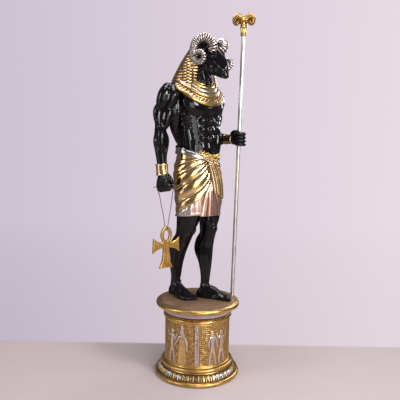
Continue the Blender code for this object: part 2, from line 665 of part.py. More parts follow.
half = [
    (0.0, 0.0), (1.3, -0.35), (2.7, -1.6), (3.7, -3.4), (4.05, -5.6), (3.7, -7.8), (2.9, -9.4),
    (2.4, -10.3), (4.4, -10.3), (7.0, -9.2), (9.4, -7.2), (9.7, -12.2), (9.9, -17.2), (7.2, -15.2),
    (4.6, -14.2), (2.3, -13.9), (2.3, -18.0), (3.0, -22.5), (5.0, -27.3), (2.4, -27.0), (0.0, -26.9),
]
outline = half + [(-x, z) for x, z in half[-2:0:-1]]
eye = [(2.1 * math.sin(t), -5.5 - 3.7 * math.cos(t))
       for t in (2 * math.pi * i / 14 for i in range(14))]
th = CROSS_THICKNESS / 2
ankh = loft("ankh", [[cross_point(x, z, y) for x, z in outline] for y in (-th, th)])
combine(ankh, loft("eye", [[cross_point(x * (1 - 0.2 * (z > -3)), z, y) for x, z in eye]
                           for y in (-2 * th, 2 * th)]), "DIFFERENCE")

# Plinth: a turned body, raised strips and figures on the drum, upright leaves on the foot.
BEAD_RADIUS = DRUM_RADIUS + 0.0125
rows = [
    (0.0, PLINTH_HEIGHT), (SLAB_RADIUS - 0.016, PLINTH_HEIGHT),
    (SLAB_RADIUS - 0.004, PLINTH_HEIGHT - 0.005), (SLAB_RADIUS, PLINTH_HEIGHT - SLAB_THICKNESS / 2),
    (SLAB_RADIUS - 0.005, PLINTH_HEIGHT - SLAB_THICKNESS + 0.003),
    (SLAB_RADIUS - 0.018, PLINTH_HEIGHT - SLAB_THICKNESS),
    (BEAD_RADIUS + 0.014, (PLINTH_HEIGHT - SLAB_THICKNESS) * 0.55 + BEAD_TOP * 0.45),
    (BEAD_RADIUS, BEAD_TOP), (BEAD_RADIUS, BEAD_BOTTOM),
    (BEAD_RADIUS + 0.002, (BEAD_BOTTOM + DRUM_TOP) / 2), (DRUM_RADIUS, DRUM_TOP),
    (DRUM_RADIUS, DRUM_BOTTOM), (DRUM_RADIUS + 0.024, DRUM_BOTTOM - 0.006),
    (DRUM_RADIUS + 0.028, LEAF_BAND_TOP + 0.006), (DRUM_RADIUS + 0.026, LEAF_BAND_TOP),
    (FOOT_RADIUS - 0.012, FOOT_ROLL_HEIGHT), (FOOT_RADIUS, FOOT_ROLL_HEIGHT * 0.5),
    (FOOT_RADIUS - 0.006, 0.0), (0.0, 0.0),
]
profile = bpy.data.meshes.new("plinth")
profile.from_pydata([(r, 0.0, z) for r, z in rows], [(i, i + 1) for i in range(len(rows) - 1)], [])
plinth = bpy.data.objects.new("plinth", profile)
bpy.context.scene.collection.objects.link(plinth)
m = plinth.modifiers.new("turned", "SCREW")
m.axis = "Z"
m.angle = 2 * math.pi
m.steps = PLINTH_STEPS
m.render_steps = PLINTH_STEPS
m.use_merge_vertices = True
m.merge_threshold = 0.0001
m.use_normal_calculate = True
m.use_smooth_shade = False

STANDING = [
    (0.004, 0.0), (0.030, 0.0), (0.030, 0.010), (0.018, 0.016), (0.022, 0.080), (0.030, 0.112),
    (0.026, 0.150), (0.031, 0.186), (0.040, 0.150), (0.046, 0.112), (0.053, 0.114), (0.049, 0.152),
    (0.040, 0.196), (0.024, 0.206), (0.026, 0.222), (0.020, 0.240), (0.008, 0.240),
    (0.004, 0.222), (0.007, 0.206), (-0.010, 0.196), (-0.018, 0.160), (-0.002, 0.158),
    (-0.001, 0.120), (-0.010, 0.080), (-0.016, 0.012),
]
ROBED = [
    (-0.022, 0.0), (0.030, 0.0), (0.026, 0.012), (0.030, 0.090), (0.027, 0.160), (0.036, 0.186),
    (0.040, 0.140), (0.048, 0.104), (0.054, 0.108), (0.049, 0.150), (0.042, 0.196),
    (0.024, 0.208), (0.027, 0.228), (0.023, 0.262), (0.012, 0.270), (0.004, 0.258),
    (0.003, 0.226), (0.007, 0.208), (-0.008, 0.200), (-0.018, 0.170), (-0.034, 0.136),
    (-0.032, 0.128), (-0.012, 0.146), (-0.016, 0.090),
]


def relief(name, outline, middle, floor, grow, mirror):
    """Plate with the given outline bent round the drum."""
    n = len(outline)
    faces = [list(range(n)), [n + i for i in range(n)]]
    faces += [[i, (i + 1) % n, n + (i + 1) % n, n + i] for i in range(n)]
    verts = []
    for r in (DRUM_RADIUS - 0.006, DRUM_RADIUS + RELIEF_PROUD):
        for x, z in outline:
            t = middle + x * mirror * grow / DRUM_RADIUS
            verts.append((r * math.sin(t), -r * math.cos(t), floor + z * grow))
    ob = body(name, verts, faces)
    bm = bmesh.new()
    bm.from_mesh(ob.data)
    bmesh.ops.triangulate(bm, faces=bm.faces)
    bm.to_mesh(ob.data)
    bm.free()
    return ob


carving = []
drum_height = DRUM_TOP - DRUM_BOTTOM
step = 2 * math.pi / PANELS
for k in range(PANELS):
    edge = math.radians(-48.0) + step * k
    w = STRIP_WIDTH / 2
    bar_outline = [(-w, 0.0), (0.0, 0.0), (w, 0.0), (w, 1.0), (0.0, 1.0), (-w, 1.0)]
    bar_outline = [(x, 0.008 + z * (drum_height - 0.016)) for x, z in bar_outline]
    carving.append(relief(f"strip {k}", bar_outline, edge, DRUM_BOTTOM, 1.0, 1.0))
    grow = drum_height / 0.284
    pair = (STANDING, ROBED) if k % 2 == 1 else (STANDING, STANDING)
    for j, outline in enumerate(pair):
        at = edge + step * (0.31 + 0.34 * j)
        carving.append(relief(f"relief {k} {j}", outline, at, DRUM_BOTTOM + 0.010, grow * 0.96,
                              1.0 if j == 0 else -1.0))
leaf_low = Vector((FOOT_RADIUS - 0.014, 0, FOOT_ROLL_HEIGHT + 0.003))
leaf_high = Vector((DRUM_RADIUS + 0.028, 0, LEAF_BAND_TOP - 0.004))
slope = (leaf_high - leaf_low).normalized()
outward = Vector((-slope.z, 0, slope.x)) * -1
for k in range(LEAVES):
    t = 2 * math.pi * (k + 0.5) / LEAVES
    turn = Matrix.Rotation(t, 3, "Z")
    mid = (leaf_low + leaf_high) / 2
    wide = math.pi * mid.x / LEAVES * 0.72
    verts = [leaf_low, mid + Vector((0, wide, 0)), leaf_high, mid - Vector((0, wide, 0)),
             mid + outward * 0.005, mid - outward * 0.006]
    verts = [turn @ v for v in verts]
    faces = [[0, 1, 4], [1, 2, 4], [2, 3, 4], [3, 0, 4], [0, 5, 1], [1, 5, 2], [2, 5, 3], [3, 5, 0]]
    carving.append(body(f"leaf {k}", verts, faces))
combine(plinth, gather("carving", carving), "UNION")

NODES = (
    (figure, "black lacquer", (0.010, 0.010, 0.012), 0.0, 0.18),
    (plinth, "gold leaf", (0.62, 0.42, 0.12), 1.0, 0.34),
    (staff_rod, "silver leaf", (0.72, 0.70, 0.68), 1.0, 0.30),
    (staff_finial, "finial gold", (0.64, 0.42, 0.10), 1.0, 0.30),
    (ankh, "cross gold", (0.62, 0.40, 0.10), 1.0, 0.34),
    (ankh_cord, "brown cord", (0.16, 0.09, 0.06), 0.0, 0.60),
)
for ob, slot, colour, metallic, rough in NODES:
    ob.data.materials.clear()
    ob.data.materials.append(paint(slot, colour, metallic, rough))
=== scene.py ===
import math

import bmesh
import bpy
import numpy as np
from mathutils import Matrix, Vector


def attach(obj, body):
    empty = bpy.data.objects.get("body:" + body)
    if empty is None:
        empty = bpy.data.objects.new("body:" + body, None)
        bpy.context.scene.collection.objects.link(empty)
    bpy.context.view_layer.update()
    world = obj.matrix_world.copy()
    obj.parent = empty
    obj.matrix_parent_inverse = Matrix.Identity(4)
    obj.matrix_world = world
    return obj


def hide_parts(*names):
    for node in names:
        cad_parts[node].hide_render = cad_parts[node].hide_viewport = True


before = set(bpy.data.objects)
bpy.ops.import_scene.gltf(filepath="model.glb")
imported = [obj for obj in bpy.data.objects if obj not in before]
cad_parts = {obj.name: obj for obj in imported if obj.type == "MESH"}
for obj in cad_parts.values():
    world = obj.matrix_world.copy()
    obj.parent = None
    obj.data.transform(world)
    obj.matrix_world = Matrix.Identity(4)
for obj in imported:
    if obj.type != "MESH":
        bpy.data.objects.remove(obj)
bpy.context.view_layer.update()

# Studio: a pale floor running out into a pale backdrop tone, a big soft lamp from the figure's left
# front, a smaller one from its right, one overhead. The camera stands at its right front.
CAMERA_TURN = -48.0
CAMERA_PITCH = 5.3
CAMERA_ROLL = 1.0
CAMERA_AWAY = 3.2
CAMERA_HEIGHT = 1.47
CAMERA_FOCUS = 481.0
FRAME_PIXELS = 400.0
VIEW_MIDDLE = 199.45
SENSOR_WIDTH = 36.0
BACKDROP_LINE = 0.43

turn = math.radians(CAMERA_TURN)
pitch = math.radians(CAMERA_PITCH)
ahead = Vector((-math.sin(turn), math.cos(turn), 0.0))
beside = Vector((ahead.y, -ahead.x, 0.0))
lens = bpy.data.cameras.new("camera")
lens.sensor_width = SENSOR_WIDTH
lens.lens = CAMERA_FOCUS * SENSOR_WIDTH / FRAME_PIXELS
lens.shift_x = (FRAME_PIXELS / 2 - VIEW_MIDDLE) / FRAME_PIXELS
lens.clip_start = 0.05
lens.clip_end = 60.0
camera = bpy.data.objects.new("camera", lens)
bpy.context.scene.collection.objects.link(camera)
camera.location = -ahead * CAMERA_AWAY + Vector((0, 0, CAMERA_HEIGHT))
gaze = ahead * math.cos(pitch) - Vector((0, 0, math.sin(pitch)))
camera.rotation_mode = "QUATERNION"
camera.rotation_quaternion = gaze.to_track_quat("-Z", "Y") @ Matrix.Rotation(
    math.radians(CAMERA_ROLL), 3, "Z").to_quaternion()
bpy.context.scene.camera = camera
bpy.context.scene.view_settings.view_transform = "Standard"
bpy.context.scene.view_settings.look = "None"


def soft_lamp(name, right, toward, up, wide, high, watts, tint, aim=1.3):
    lamp = bpy.data.lights.new(name, "AREA")
    lamp.shape = "RECTANGLE"
    lamp.size = wide
    lamp.size_y = high
    lamp.energy = watts
    lamp.color = tint
    ob = bpy.data.objects.new(name, lamp)
    bpy.context.scene.collection.objects.link(ob)
    ob.location = beside * right - ahead * toward + Vector((0, 0, up))
    line = Vector((0, 0, aim)) - ob.location
    ob.rotation_mode = "QUATERNION"
    ob.rotation_quaternion = line.to_track_quat("-Z", "Y")
    return ob


soft_lamp("key lamp", 2.4, 2.3, 2.7, 0.9, 1.3, 80.0, (1.0, 0.975, 0.95))
soft_lamp("key panel", 1.7, 4.3, 1.75, 2.3, 2.7, 72.0, (1.0, 0.98, 0.96), 1.2)
soft_lamp("side panel", -3.0, 1.15, 1.7, 1.2, 2.2, 12.0, (0.97, 0.97, 1.0), 1.35)
soft_lamp("fill lamp", -2.6, 1.6, 2.6, 0.5, 1.0, 22.0, (0.96, 0.96, 1.0))
soft_lamp("top lamp", 0.2, 0.3, 4.2, 1.6, 1.6, 60.0, (1.0, 0.98, 0.97), 0.5)
soft_lamp("rim lamp", 1.9, -2.3, 2.6, 0.6, 1.4, 30.0, (1.0, 0.99, 1.0))


def shader_net(tree):
    """Gives a function that adds a node, sets its properties, and links or fills its inputs."""
    def add(kind, props=None, inputs=None):
        node = tree.nodes.new(kind)
        for key, value in (props or {}).items():
            setattr(node, key, value)
        for key, value in (inputs or {}).items():
            socket = node.inputs[key]
            if isinstance(value, bpy.types.NodeSocket):
                tree.links.new(value, socket)
            else:
                socket.default_value = value
        return node
    return add


def sum_of(net, kind, *inputs, clamp=False):
    """One step of arithmetic as a node; gives its output."""
    return net("ShaderNodeMath", {"operation": kind, "use_clamp": clamp},
               dict(enumerate(inputs))).outputs[0]


world = bpy.data.worlds.new("studio")
bpy.context.scene.world = world
world.use_nodes = True
world.node_tree.nodes.clear()
net = shader_net(world.node_tree)
rays = net("ShaderNodeLightPath")
where = net("ShaderNodeTexCoord")
height = net("ShaderNodeSeparateXYZ", {}, {0: where.outputs["Generated"]})
rise = net("ShaderNodeMapRange", {}, {0: height.outputs["Z"], 1: -0.4, 2: 0.9, 3: 0.0, 4: 1.0})
room = net("ShaderNodeMix", {"data_type": "RGBA"},
           {0: rise.outputs[0], 6: (0.085, 0.078, 0.082, 1), 7: (0.16, 0.15, 0.165, 1)})
side_on = net("ShaderNodeVectorMath", {"operation": "DOT_PRODUCT"},
              {0: where.outputs["Generated"], 1: tuple(beside)})
across = net("ShaderNodeMapRange", {}, {0: side_on.outputs["Value"], 1: -0.38, 2: 0.38, 3: 0.0, 4: 1.0})
# The camera sees lilac backdrop paper, darker to the left and lighter to the right: painted shade across
# the backdrop, as if lit from the right. Other rays see the dim room.
backdrop_paper_painted_shade = net("ShaderNodeMix", {"data_type": "RGBA"},
            {0: across.outputs[0], 6: (0.615, 0.540, 0.645, 1), 7: (0.800, 0.715, 0.775, 1)})
sky = net("ShaderNodeMix", {"data_type": "RGBA"},
          {0: rays.outputs["Is Camera Ray"], 6: room.outputs[2], 7: backdrop_paper_painted_shade.outputs[2]})
glow = net("ShaderNodeBackground", {}, {"Color": sky.outputs[2], "Strength": 1.0})
net("ShaderNodeOutputWorld", {}, {"Surface": glow.outputs[0]})

mesh = bpy.data.meshes.new("floor")
far = 30.0
mesh.from_pydata([(-far, -far, 0), (far, -far, 0), (far, far, 0), (-far, far, 0)], [], [(0, 1, 2, 3)])
floor = bpy.data.objects.new("floor", mesh)
bpy.context.scene.collection.objects.link(floor)
pale = bpy.data.materials.new("pale floor")
pale.use_nodes = True
pale.node_tree.nodes.clear()
net = shader_net(pale.node_tree)
where = net("ShaderNodeTexCoord")
line = net("ShaderNodeVectorMath", {"operation": "DOT_PRODUCT"},
           {0: where.outputs["Object"], 1: (ahead.x, ahead.y, 0.0)})
# Beyond the backdrop line the floor is painted as the backdrop wall instead of as floor.
beyond = net("ShaderNodeMapRange", {}, {0: line.outputs["Value"], 1: BACKDROP_LINE,
                                       2: BACKDROP_LINE + 0.03, 3: 0.0, 4: 1.0})
wall_foot_shade_fade = net("ShaderNodeMapRange", {}, {0: line.outputs["Value"], 1: BACKDROP_LINE,
                                      2: 7.0, 3: 0.0, 4: 1.0})
grain = net("ShaderNodeTexNoise", {}, {"Vector": where.outputs["Object"], "Scale": 3.0, "Detail": 4.0})
tone = net("ShaderNodeMix", {"data_type": "RGBA"},
           {0: grain.outputs["Fac"], 6: (0.56, 0.485, 0.50, 1), 7: (0.60, 0.52, 0.53, 1)})
ground = net("ShaderNodeBsdfDiffuse", {}, {"Color": tone.outputs[2], "Roughness": 0.4})
sideways = net("ShaderNodeVectorMath", {"operation": "DOT_PRODUCT"},
               {0: where.outputs["Object"], 1: tuple(beside)})
distance = sum_of(net, "ADD", line.outputs["Value"], CAMERA_AWAY)
aslant = sum_of(net, "DIVIDE", sideways.outputs["Value"], distance)
across = net("ShaderNodeMapRange", {}, {0: aslant, 1: -0.40, 2: 0.40, 3: 0.0, 4: 1.0})
# The painted wall is darker to the left than to the right, and darker at its foot than further off: painted
# shade.
backdrop_wall_painted_shade = net("ShaderNodeMix", {"data_type": "RGBA"},
                {0: across.outputs[0], 6: (0.545, 0.475, 0.575, 1), 7: (0.755, 0.675, 0.715, 1)})
far_wall_painted_shade = net("ShaderNodeMix", {"data_type": "RGBA"},
               {0: across.outputs[0], 6: (0.615, 0.540, 0.645, 1), 7: (0.800, 0.715, 0.775, 1)})
backdrop_wall_painted_shade = net("ShaderNodeMix", {"data_type": "RGBA"}, {0: wall_foot_shade_fade.outputs[0], 6: backdrop_wall_painted_shade.outputs[2],
                                                         7: far_wall_painted_shade.outputs[2]})
# It is an emission, at full strength for the camera and at 0.16 for other rays, so the painted wall glows
# and lights the figure a little though it is no lamp.
rays = net("ShaderNodeLightPath")
seen = net("ShaderNodeMapRange", {}, {0: rays.outputs["Is Camera Ray"], 3: 0.16, 4: 1.0})
wall = net("ShaderNodeEmission", {}, {"Color": backdrop_wall_painted_shade.outputs[2], "Strength": seen.outputs[0]})
both = net("ShaderNodeMixShader", {}, {0: beyond.outputs[0], 1: ground.outputs[0], 2: wall.outputs[0]})
net("ShaderNodeOutputMaterial", {}, {"Surface": both.outputs[0]})
mesh.materials.append(pale)

# Cord: twisted brown cord, 5 mm thick, tied through the right fist. One loose end sticks out behind
# it; the cord runs down in front, under the cross's top bar, back up and out again in a short tail.
FIGURE_HEIGHT = 1.760
CROSS_THICKNESS = 0.018
CORD_DIAMETER = 0.005
SEAT_GAP = 0.0003
BORE_BACK = (-24.7, 13.1, 76.4)
BORE_FRONT = (-24.0, 2.1, 78.2)
CROSS_TOP = (-24.1, 6.6, 51.2)
CROSS_TURN = -13.0
CROSS_BAR = 1.8
BEND_SLACK = 0.0016
CORD_POINTS = 54
CORD_SIDES = 20
FIGURE_UNITS = 176.0
U = FIGURE_HEIGHT / FIGURE_UNITS
SOLE = 0.5003


def fig(x, y, z):
    """A place on the figure in its own units, 176 to its height: to its left, to its back, up."""
    return Vector((x * U, y * U, SOLE + z * U))


def turned(angle):
    """Unit vectors to the figure's left and to the back after a turn about +Z, in degrees."""
    a = math.radians(angle)
    return Vector((math.cos(a), math.sin(a), 0)), Vector((-math.sin(a), math.cos(a), 0))


def smooth_route(points, count):
    """Even points along a smooth curve through the given ones."""
    pts = [Vector(p) for p in points]
    fine = []
    for i in range(len(pts) - 1):
        p0 = pts[max(i - 1, 0)]
        p1 = pts[i]
        p2 = pts[i + 1]
        p3 = pts[min(i + 2, len(pts) - 1)]
        for k in range(24):
            t = k / 24
            fine.append(0.5 * (2 * p1 + (p2 - p0) * t + (2 * p0 - 5 * p1 + 4 * p2 - p3) * t * t
                               + (3 * p1 - p0 - 3 * p2 + p3) * t * t * t))
    fine.append(pts[-1])
    run = [0.0]
    for a, b in zip(fine, fine[1:]):
        run.append(run[-1] + (b - a).length)
    out = []
    j = 0
    for i in range(count):
        want = run[-1] * i / (count - 1)
        while j < len(run) - 2 and run[j + 1] < want:
            j += 1
        f = (want - run[j]) / max(run[j + 1] - run[j], 1e-9)
        out.append(fine[j].lerp(fine[j + 1], min(f, 1.0)))
    return out


def cord_route():
    gauge = CORD_DIAMETER * 0.72
    back = fig(*BORE_BACK)
    front = fig(*BORE_FRONT)
    run = (front - back).normalized()
    a = Vector((0, 0, 1)).cross(run).normalized() * gauge
    eye = fig(*CROSS_TOP)
    face = turned(CROSS_TURN)[1]
    drop = Vector((0, 0, 1))
    sink = CROSS_BAR * U * 0.62
    bend = math.hypot(CROSS_THICKNESS / 2, CROSS_BAR * U - sink) + CORD_DIAMETER / 2 + SEAT_GAP + BEND_SLACK
    loop = [eye - drop * (sink + bend * math.sin(t)) - face * bend * math.cos(t)
            for t in (math.pi * k / 6 for k in range(7))]
    return [
        back + a - run * 5.4 * U + drop * 0.1 * U, back + a - run * 2.4 * U, back + a + run * 1.0 * U,
        back.lerp(front, 0.5) + a, front + a - run * 1.0 * U, front + a + run * 0.9 * U - drop * 0.25 * U,
        front + a + run * 1.0 * U - drop * 2.2 * U, fig(-24.0, 1.7, 70.5), fig(-24.1, 2.7, 64.0),
        fig(-24.2, 4.1, 57.0), *loop, fig(-24.2, 9.2, 57.5), fig(-24.5, 11.2, 65.0),
        fig(-24.8, 12.7, 71.5), back - a - run * 1.1 * U - drop * 2.0 * U,
        back - a - run * 0.9 * U - drop * 0.2 * U, back - a + run * 1.0 * U,
        back.lerp(front, 0.5) - a, front - a - run * 1.0 * U, front - a + run * 1.8 * U - drop * 0.1 * U,
        front - a + run * 2.9 * U - drop * 1.6 * U, front - a + run * 2.7 * U - drop * 4.8 * U,
    ]


def new_piece(name, places, faces, material, smooth=True, attributes=None):
    """Mesh object from an array of places and an array of triangles or quads."""
    places = np.asarray(places, dtype=np.float32)
    mesh = bpy.data.meshes.new(name)
    mesh.vertices.add(len(places))
    mesh.vertices.foreach_set("co", places.ravel())
    flat = np.concatenate([np.asarray(f, dtype=np.int32).ravel() for f in faces])
    sizes = np.concatenate([np.full(len(f), np.asarray(f).shape[1], dtype=np.int32) for f in faces])
    mesh.loops.add(len(flat))
    mesh.loops.foreach_set("vertex_index", flat)
    mesh.polygons.add(len(sizes))
    mesh.polygons.foreach_set("loop_start", np.concatenate([[0], np.cumsum(sizes)[:-1]]).astype(np.int32))
    mesh.polygons.foreach_set("use_smooth", np.full(len(sizes), smooth, dtype=bool))
    mesh.update(calc_edges=True)
    mesh.validate()
    for key, values in (attributes or {}).items():
        layer = mesh.attributes.new(key, "FLOAT", "POINT")
        layer.data.foreach_set("value", np.asarray(values, dtype=np.float32).ravel())
    mesh.materials.append(material)
    ob = bpy.data.objects.new(name, mesh)
    bpy.context.scene.collection.objects.link(ob)
    return ob


def grid_faces(rows, columns, closed=True):
    """Quads between rows of points; each row closes on itself when closed is set."""
    last = columns if closed else columns - 1
    j, i = np.meshgrid(np.arange(rows - 1), np.arange(last), indexing="ij")
    k = (i + 1) % columns
    return np.stack([j * columns + i, j * columns + k, (j + 1) * columns + k, (j + 1) * columns + i],
                    axis=-1).reshape(-1, 4)


def skin(name, rings, material, smooth=True, attributes=None, flip=False):
    """Closed body over rings of equal length, each end closed to a middle point."""
    rings = np.asarray(rings, dtype=np.float64)
    rows, columns = rings.shape[:2]
    places = np.concatenate([rings.reshape(-1, 3), rings[:1].mean(axis=1), rings[-1:].mean(axis=1)])
    i = np.arange(columns)
    k = (i + 1) % columns
    first = np.stack([k, i, np.full(columns, rows * columns)], axis=-1)
    top = (rows - 1) * columns
    last = np.stack([top + i, top + k, np.full(columns, rows * columns + 1)], axis=-1)
    faces = [grid_faces(rows, columns), first, last]
    if flip:
        faces = [f[:, ::-1] for f in faces]
    if attributes:
        attributes = {key: np.concatenate([np.asarray(v).ravel(), [0.0, 0.0]])
                      for key, v in attributes.items()}
    return new_piece(name, places, faces, material, smooth, attributes)


def coat(name, colour, metallic, rough, **fixed):
    """Material with one Principled shader; returns it, a node adder for it and the shader."""
    m = bpy.data.materials.new(name)
    m.use_nodes = True
    tree = m.node_tree
    shader = tree.nodes["Principled BSDF"]
    shader.inputs["Base Color"].default_value = (*colour, 1.0)
    shader.inputs["Metallic"].default_value = metallic
    shader.inputs["Roughness"].default_value = rough
    for key, value in fixed.items():
        shader.inputs[key.replace("_", " ")].default_value = value
    return m, shader_net(tree), shader


def plug(material, source, socket):
    material.node_tree.links.new(source, socket)


cord_brown, net, shader = coat("twisted brown cord", (0.10, 0.052, 0.034), 0.0, 0.62, Sheen_Weight=0.25)
lie = net("ShaderNodeAttribute", {"attribute_name": "lay"})
fibre = net("ShaderNodeTexNoise", {"noise_dimensions": "1D"},
            {"W": lie.outputs["Fac"], "Scale": 9.0, "Detail": 5.0})
shade = net("ShaderNodeMix", {"data_type": "RGBA"},
            {0: fibre.outputs["Fac"], 6: (0.060, 0.030, 0.020, 1), 7: (0.20, 0.105, 0.066, 1)})
plug(cord_brown, shade.outputs[2], shader.inputs["Base Color"])
fuzz = net("ShaderNodeBump", {}, {"Height": fibre.outputs["Fac"], "Strength": 0.35, "Distance": 0.0006})
plug(cord_brown, fuzz.outputs[0], shader.inputs["Normal"])

route = smooth_route(cord_route(), CORD_POINTS)
line = np.array([tuple(p) for p in smooth_route(route, CORD_POINTS * 7)])
run = np.gradient(line, axis=0)
run /= np.linalg.norm(run, axis=1, keepdims=True)
across = np.zeros_like(line)
across[0] = np.cross(run[0], (0, 0, 1.0))
for i in range(1, len(line)):
    across[i] = across[i - 1] - run[i] * np.dot(across[i - 1], run[i])
    across[i] /= np.linalg.norm(across[i])
upward = np.cross(run, across)
along = np.concatenate([[0.0], np.cumsum(np.linalg.norm(np.diff(line, axis=0), axis=1))])
angle = 2 * np.pi * np.arange(CORD_SIDES) / CORD_SIDES
lobe = 0.90 + 0.10 * np.abs(np.cos(1.5 * (angle[None, :] - 2 * np.pi * along[:, None] / 0.016)))
ends = np.clip(np.minimum(along, along[-1] - along) / 0.0015, 0.25, 1.0) ** 0.5
thick = CORD_DIAMETER / 2 * lobe * ends[:, None]
tube = line[:, None] + thick[..., None] * (across[:, None] * np.cos(angle)[None, :, None]
                                           + upward[:, None] * np.sin(angle)[None, :, None])
lay = (angle[None, :] / (2 * np.pi) + along[:, None] / 0.016) % 1.0 * 3.0 + along[:, None] * 40.0
cord = skin("hanging_cord", tube, cord_brown, attributes={"lay": lay})
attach(cord, "root")
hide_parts("ankh_cord")

# Plinth mouldings: hollow resin turnings finished in gold leaf, with a pale silvered cove under the
# top and a brown wash rubbed into the hollows. The slab on top is a duller, browner gold.
SLAB_RADIUS = 0.281
SLAB_THICKNESS = 0.032
DRUM_RADIUS = 0.2155
DRUM_BOTTOM = 0.107
DRUM_TOP = 0.391
BEAD_LEVEL = 0.421
FOOT_RADIUS = 0.288
LEAF_BAND_TOP = 0.071
FOOT_ROLL = 0.0265
GOLD = (0.84, 0.545, 0.20)
GOLD_SHADE = (0.55, 0.32, 0.07)
SILVER = (0.80, 0.76, 0.74)
WASH = (0.075, 0.028, 0.010)


def node_input(tree, name, kind, value=None):
    socket = tree.interface.new_socket(name=name, in_out="INPUT", socket_type=kind)
    if value is not None:
        socket.default_value = value
    return socket


rubbed = bpy.data.node_groups.new("rubbed leaf", "ShaderNodeTree")
for name in ("Leaf", "Shade", "Second leaf", "Wash"):
    node_input(rubbed, name, "NodeSocketColor")
for name in ("Grain", "Wash reach", "Polish"):
    node_input(rubbed, name, "NodeSocketFloat")
rubbed.interface.new_socket(name="Color", in_out="OUTPUT", socket_type="NodeSocketColor")
for name in ("Metal", "Roughness", "Relief"):
    rubbed.interface.new_socket(name=name, in_out="OUTPUT", socket_type="NodeSocketFloat")
net = shader_net(rubbed)
take = net("NodeGroupInput").outputs
where = net("ShaderNodeTexCoord").outputs["Object"]
hollow = net("ShaderNodeAttribute", {"attribute_name": "hollow"}).outputs["Fac"]
silvered = net("ShaderNodeAttribute", {"attribute_name": "silver"}).outputs["Fac"]
broad = net("ShaderNodeTexNoise", {},
            {"Vector": where, "Scale": take["Grain"], "Detail": 4.0, "Roughness": 0.6})
finer = sum_of(net, "MULTIPLY", take["Grain"], 7.0)
speck = net("ShaderNodeTexNoise", {}, {"Vector": where, "Scale": finer, "Detail": 5.0, "Roughness": 0.7})
patch = net("ShaderNodeMapRange", {"interpolation_type": "SMOOTHSTEP"},
            {0: broad.outputs["Fac"], 1: 0.35, 2: 0.68, 3: 0.0, 4: 1.0})
base = net("ShaderNodeMix", {"data_type": "RGBA"}, {0: silvered, 6: take["Leaf"], 7: take["Second leaf"]})
dull = net("ShaderNodeMix", {"data_type": "RGBA", "blend_type": "MULTIPLY"},
           {0: patch.outputs[0], 6: base.outputs[2], 7: take["Shade"]})
deep = sum_of(net, "ADD", hollow, sum_of(net, "MULTIPLY_ADD", speck.outputs["Fac"], 0.5, -0.25))
start = sum_of(net, "SUBTRACT", 1.0, take["Wash reach"])
stop = sum_of(net, "ADD", start, 0.35)
wet = net("ShaderNodeMapRange", {"interpolation_type": "SMOOTHSTEP"},
          {0: deep, 1: start, 2: stop, 3: 0.0, 4: 0.92})
ridge = net("ShaderNodeMapRange", {}, {0: deep, 1: -0.15, 2: -0.9, 3: 0.0, 4: 0.55})
lit = net("ShaderNodeMix", {"data_type": "RGBA", "blend_type": "SCREEN"},
          {0: ridge.outputs[0], 6: dull.outputs[2], 7: base.outputs[2]})
stain = net("ShaderNodeMix", {"data_type": "RGBA"}, {0: wet.outputs[0], 6: lit.outputs[2], 7: take["Wash"]})
metal = sum_of(net, "MULTIPLY_ADD", wet.outputs[0], -0.8, 1.0)
worn = sum_of(net, "MULTIPLY_ADD", speck.outputs["Fac"], 0.16, take["Polish"])
rough = sum_of(net, "MULTIPLY_ADD", wet.outputs[0], 0.35, worn, clamp=True)
dents = sum_of(net, "MULTIPLY_ADD", broad.outputs["Fac"], 0.8, speck.outputs["Fac"])
net("NodeGroupOutput", {}, {0: stain.outputs[2], 1: metal, 2: rough, 3: dents})


def leafed(name, leaf, shade, second=SILVER, wash=WASH, grain=22.0, reach=0.75, polish=0.20, dent=0.25):
    """Metal leaf over resin, mottled, with the wash in its hollows and bright rubbed edges."""
    m, net, shader = coat(name, leaf, 1.0, polish)
    tone = [s / max(c, 0.01) for s, c in zip(shade, leaf)]
    group = net("ShaderNodeGroup", {"node_tree": rubbed}, {
        "Leaf": (*leaf, 1), "Shade": (*tone, 1), "Second leaf": (*second, 1), "Wash": (*wash, 1),
        "Grain": grain, "Wash reach": reach, "Polish": polish})
    plug(m, group.outputs["Color"], shader.inputs["Base Color"])
    plug(m, group.outputs["Metal"], shader.inputs["Metallic"])
    plug(m, group.outputs["Roughness"], shader.inputs["Roughness"])
    bump = net("ShaderNodeBump", {},
               {"Height": group.outputs["Relief"], "Strength": dent, "Distance": 0.0008})
    plug(m, bump.outputs[0], shader.inputs["Normal"])
    return m


def geometry_tree(name, inputs):
    """Empty Geometry Nodes tree with a geometry input, the given ones and a geometry output."""
    tree = bpy.data.node_groups.new(name, "GeometryNodeTree")
    tree.interface.new_socket(name="Geometry", in_out="INPUT", socket_type="NodeSocketGeometry")
    for key, kind, value in inputs:
        node_input(tree, key, kind, value)
    tree.interface.new_socket(name="Geometry", in_out="OUTPUT", socket_type="NodeSocketGeometry")
    net = shader_net(tree)
    return tree, net, net("NodeGroupInput").outputs


def close_tree(net, geometry, material):
    """Ends a tree: smooth faces, real geometry, its material."""
    smooth = net("GeometryNodeSetShadeSmooth", {}, {"Geometry": geometry})
    real = net("GeometryNodeRealizeInstances", {}, {0: smooth.outputs[0]})
    paint = net("GeometryNodeSetMaterial", {}, {"Geometry": real.outputs[0], "Material": material})
    net("NodeGroupOutput", {}, {0: paint.outputs[0]})


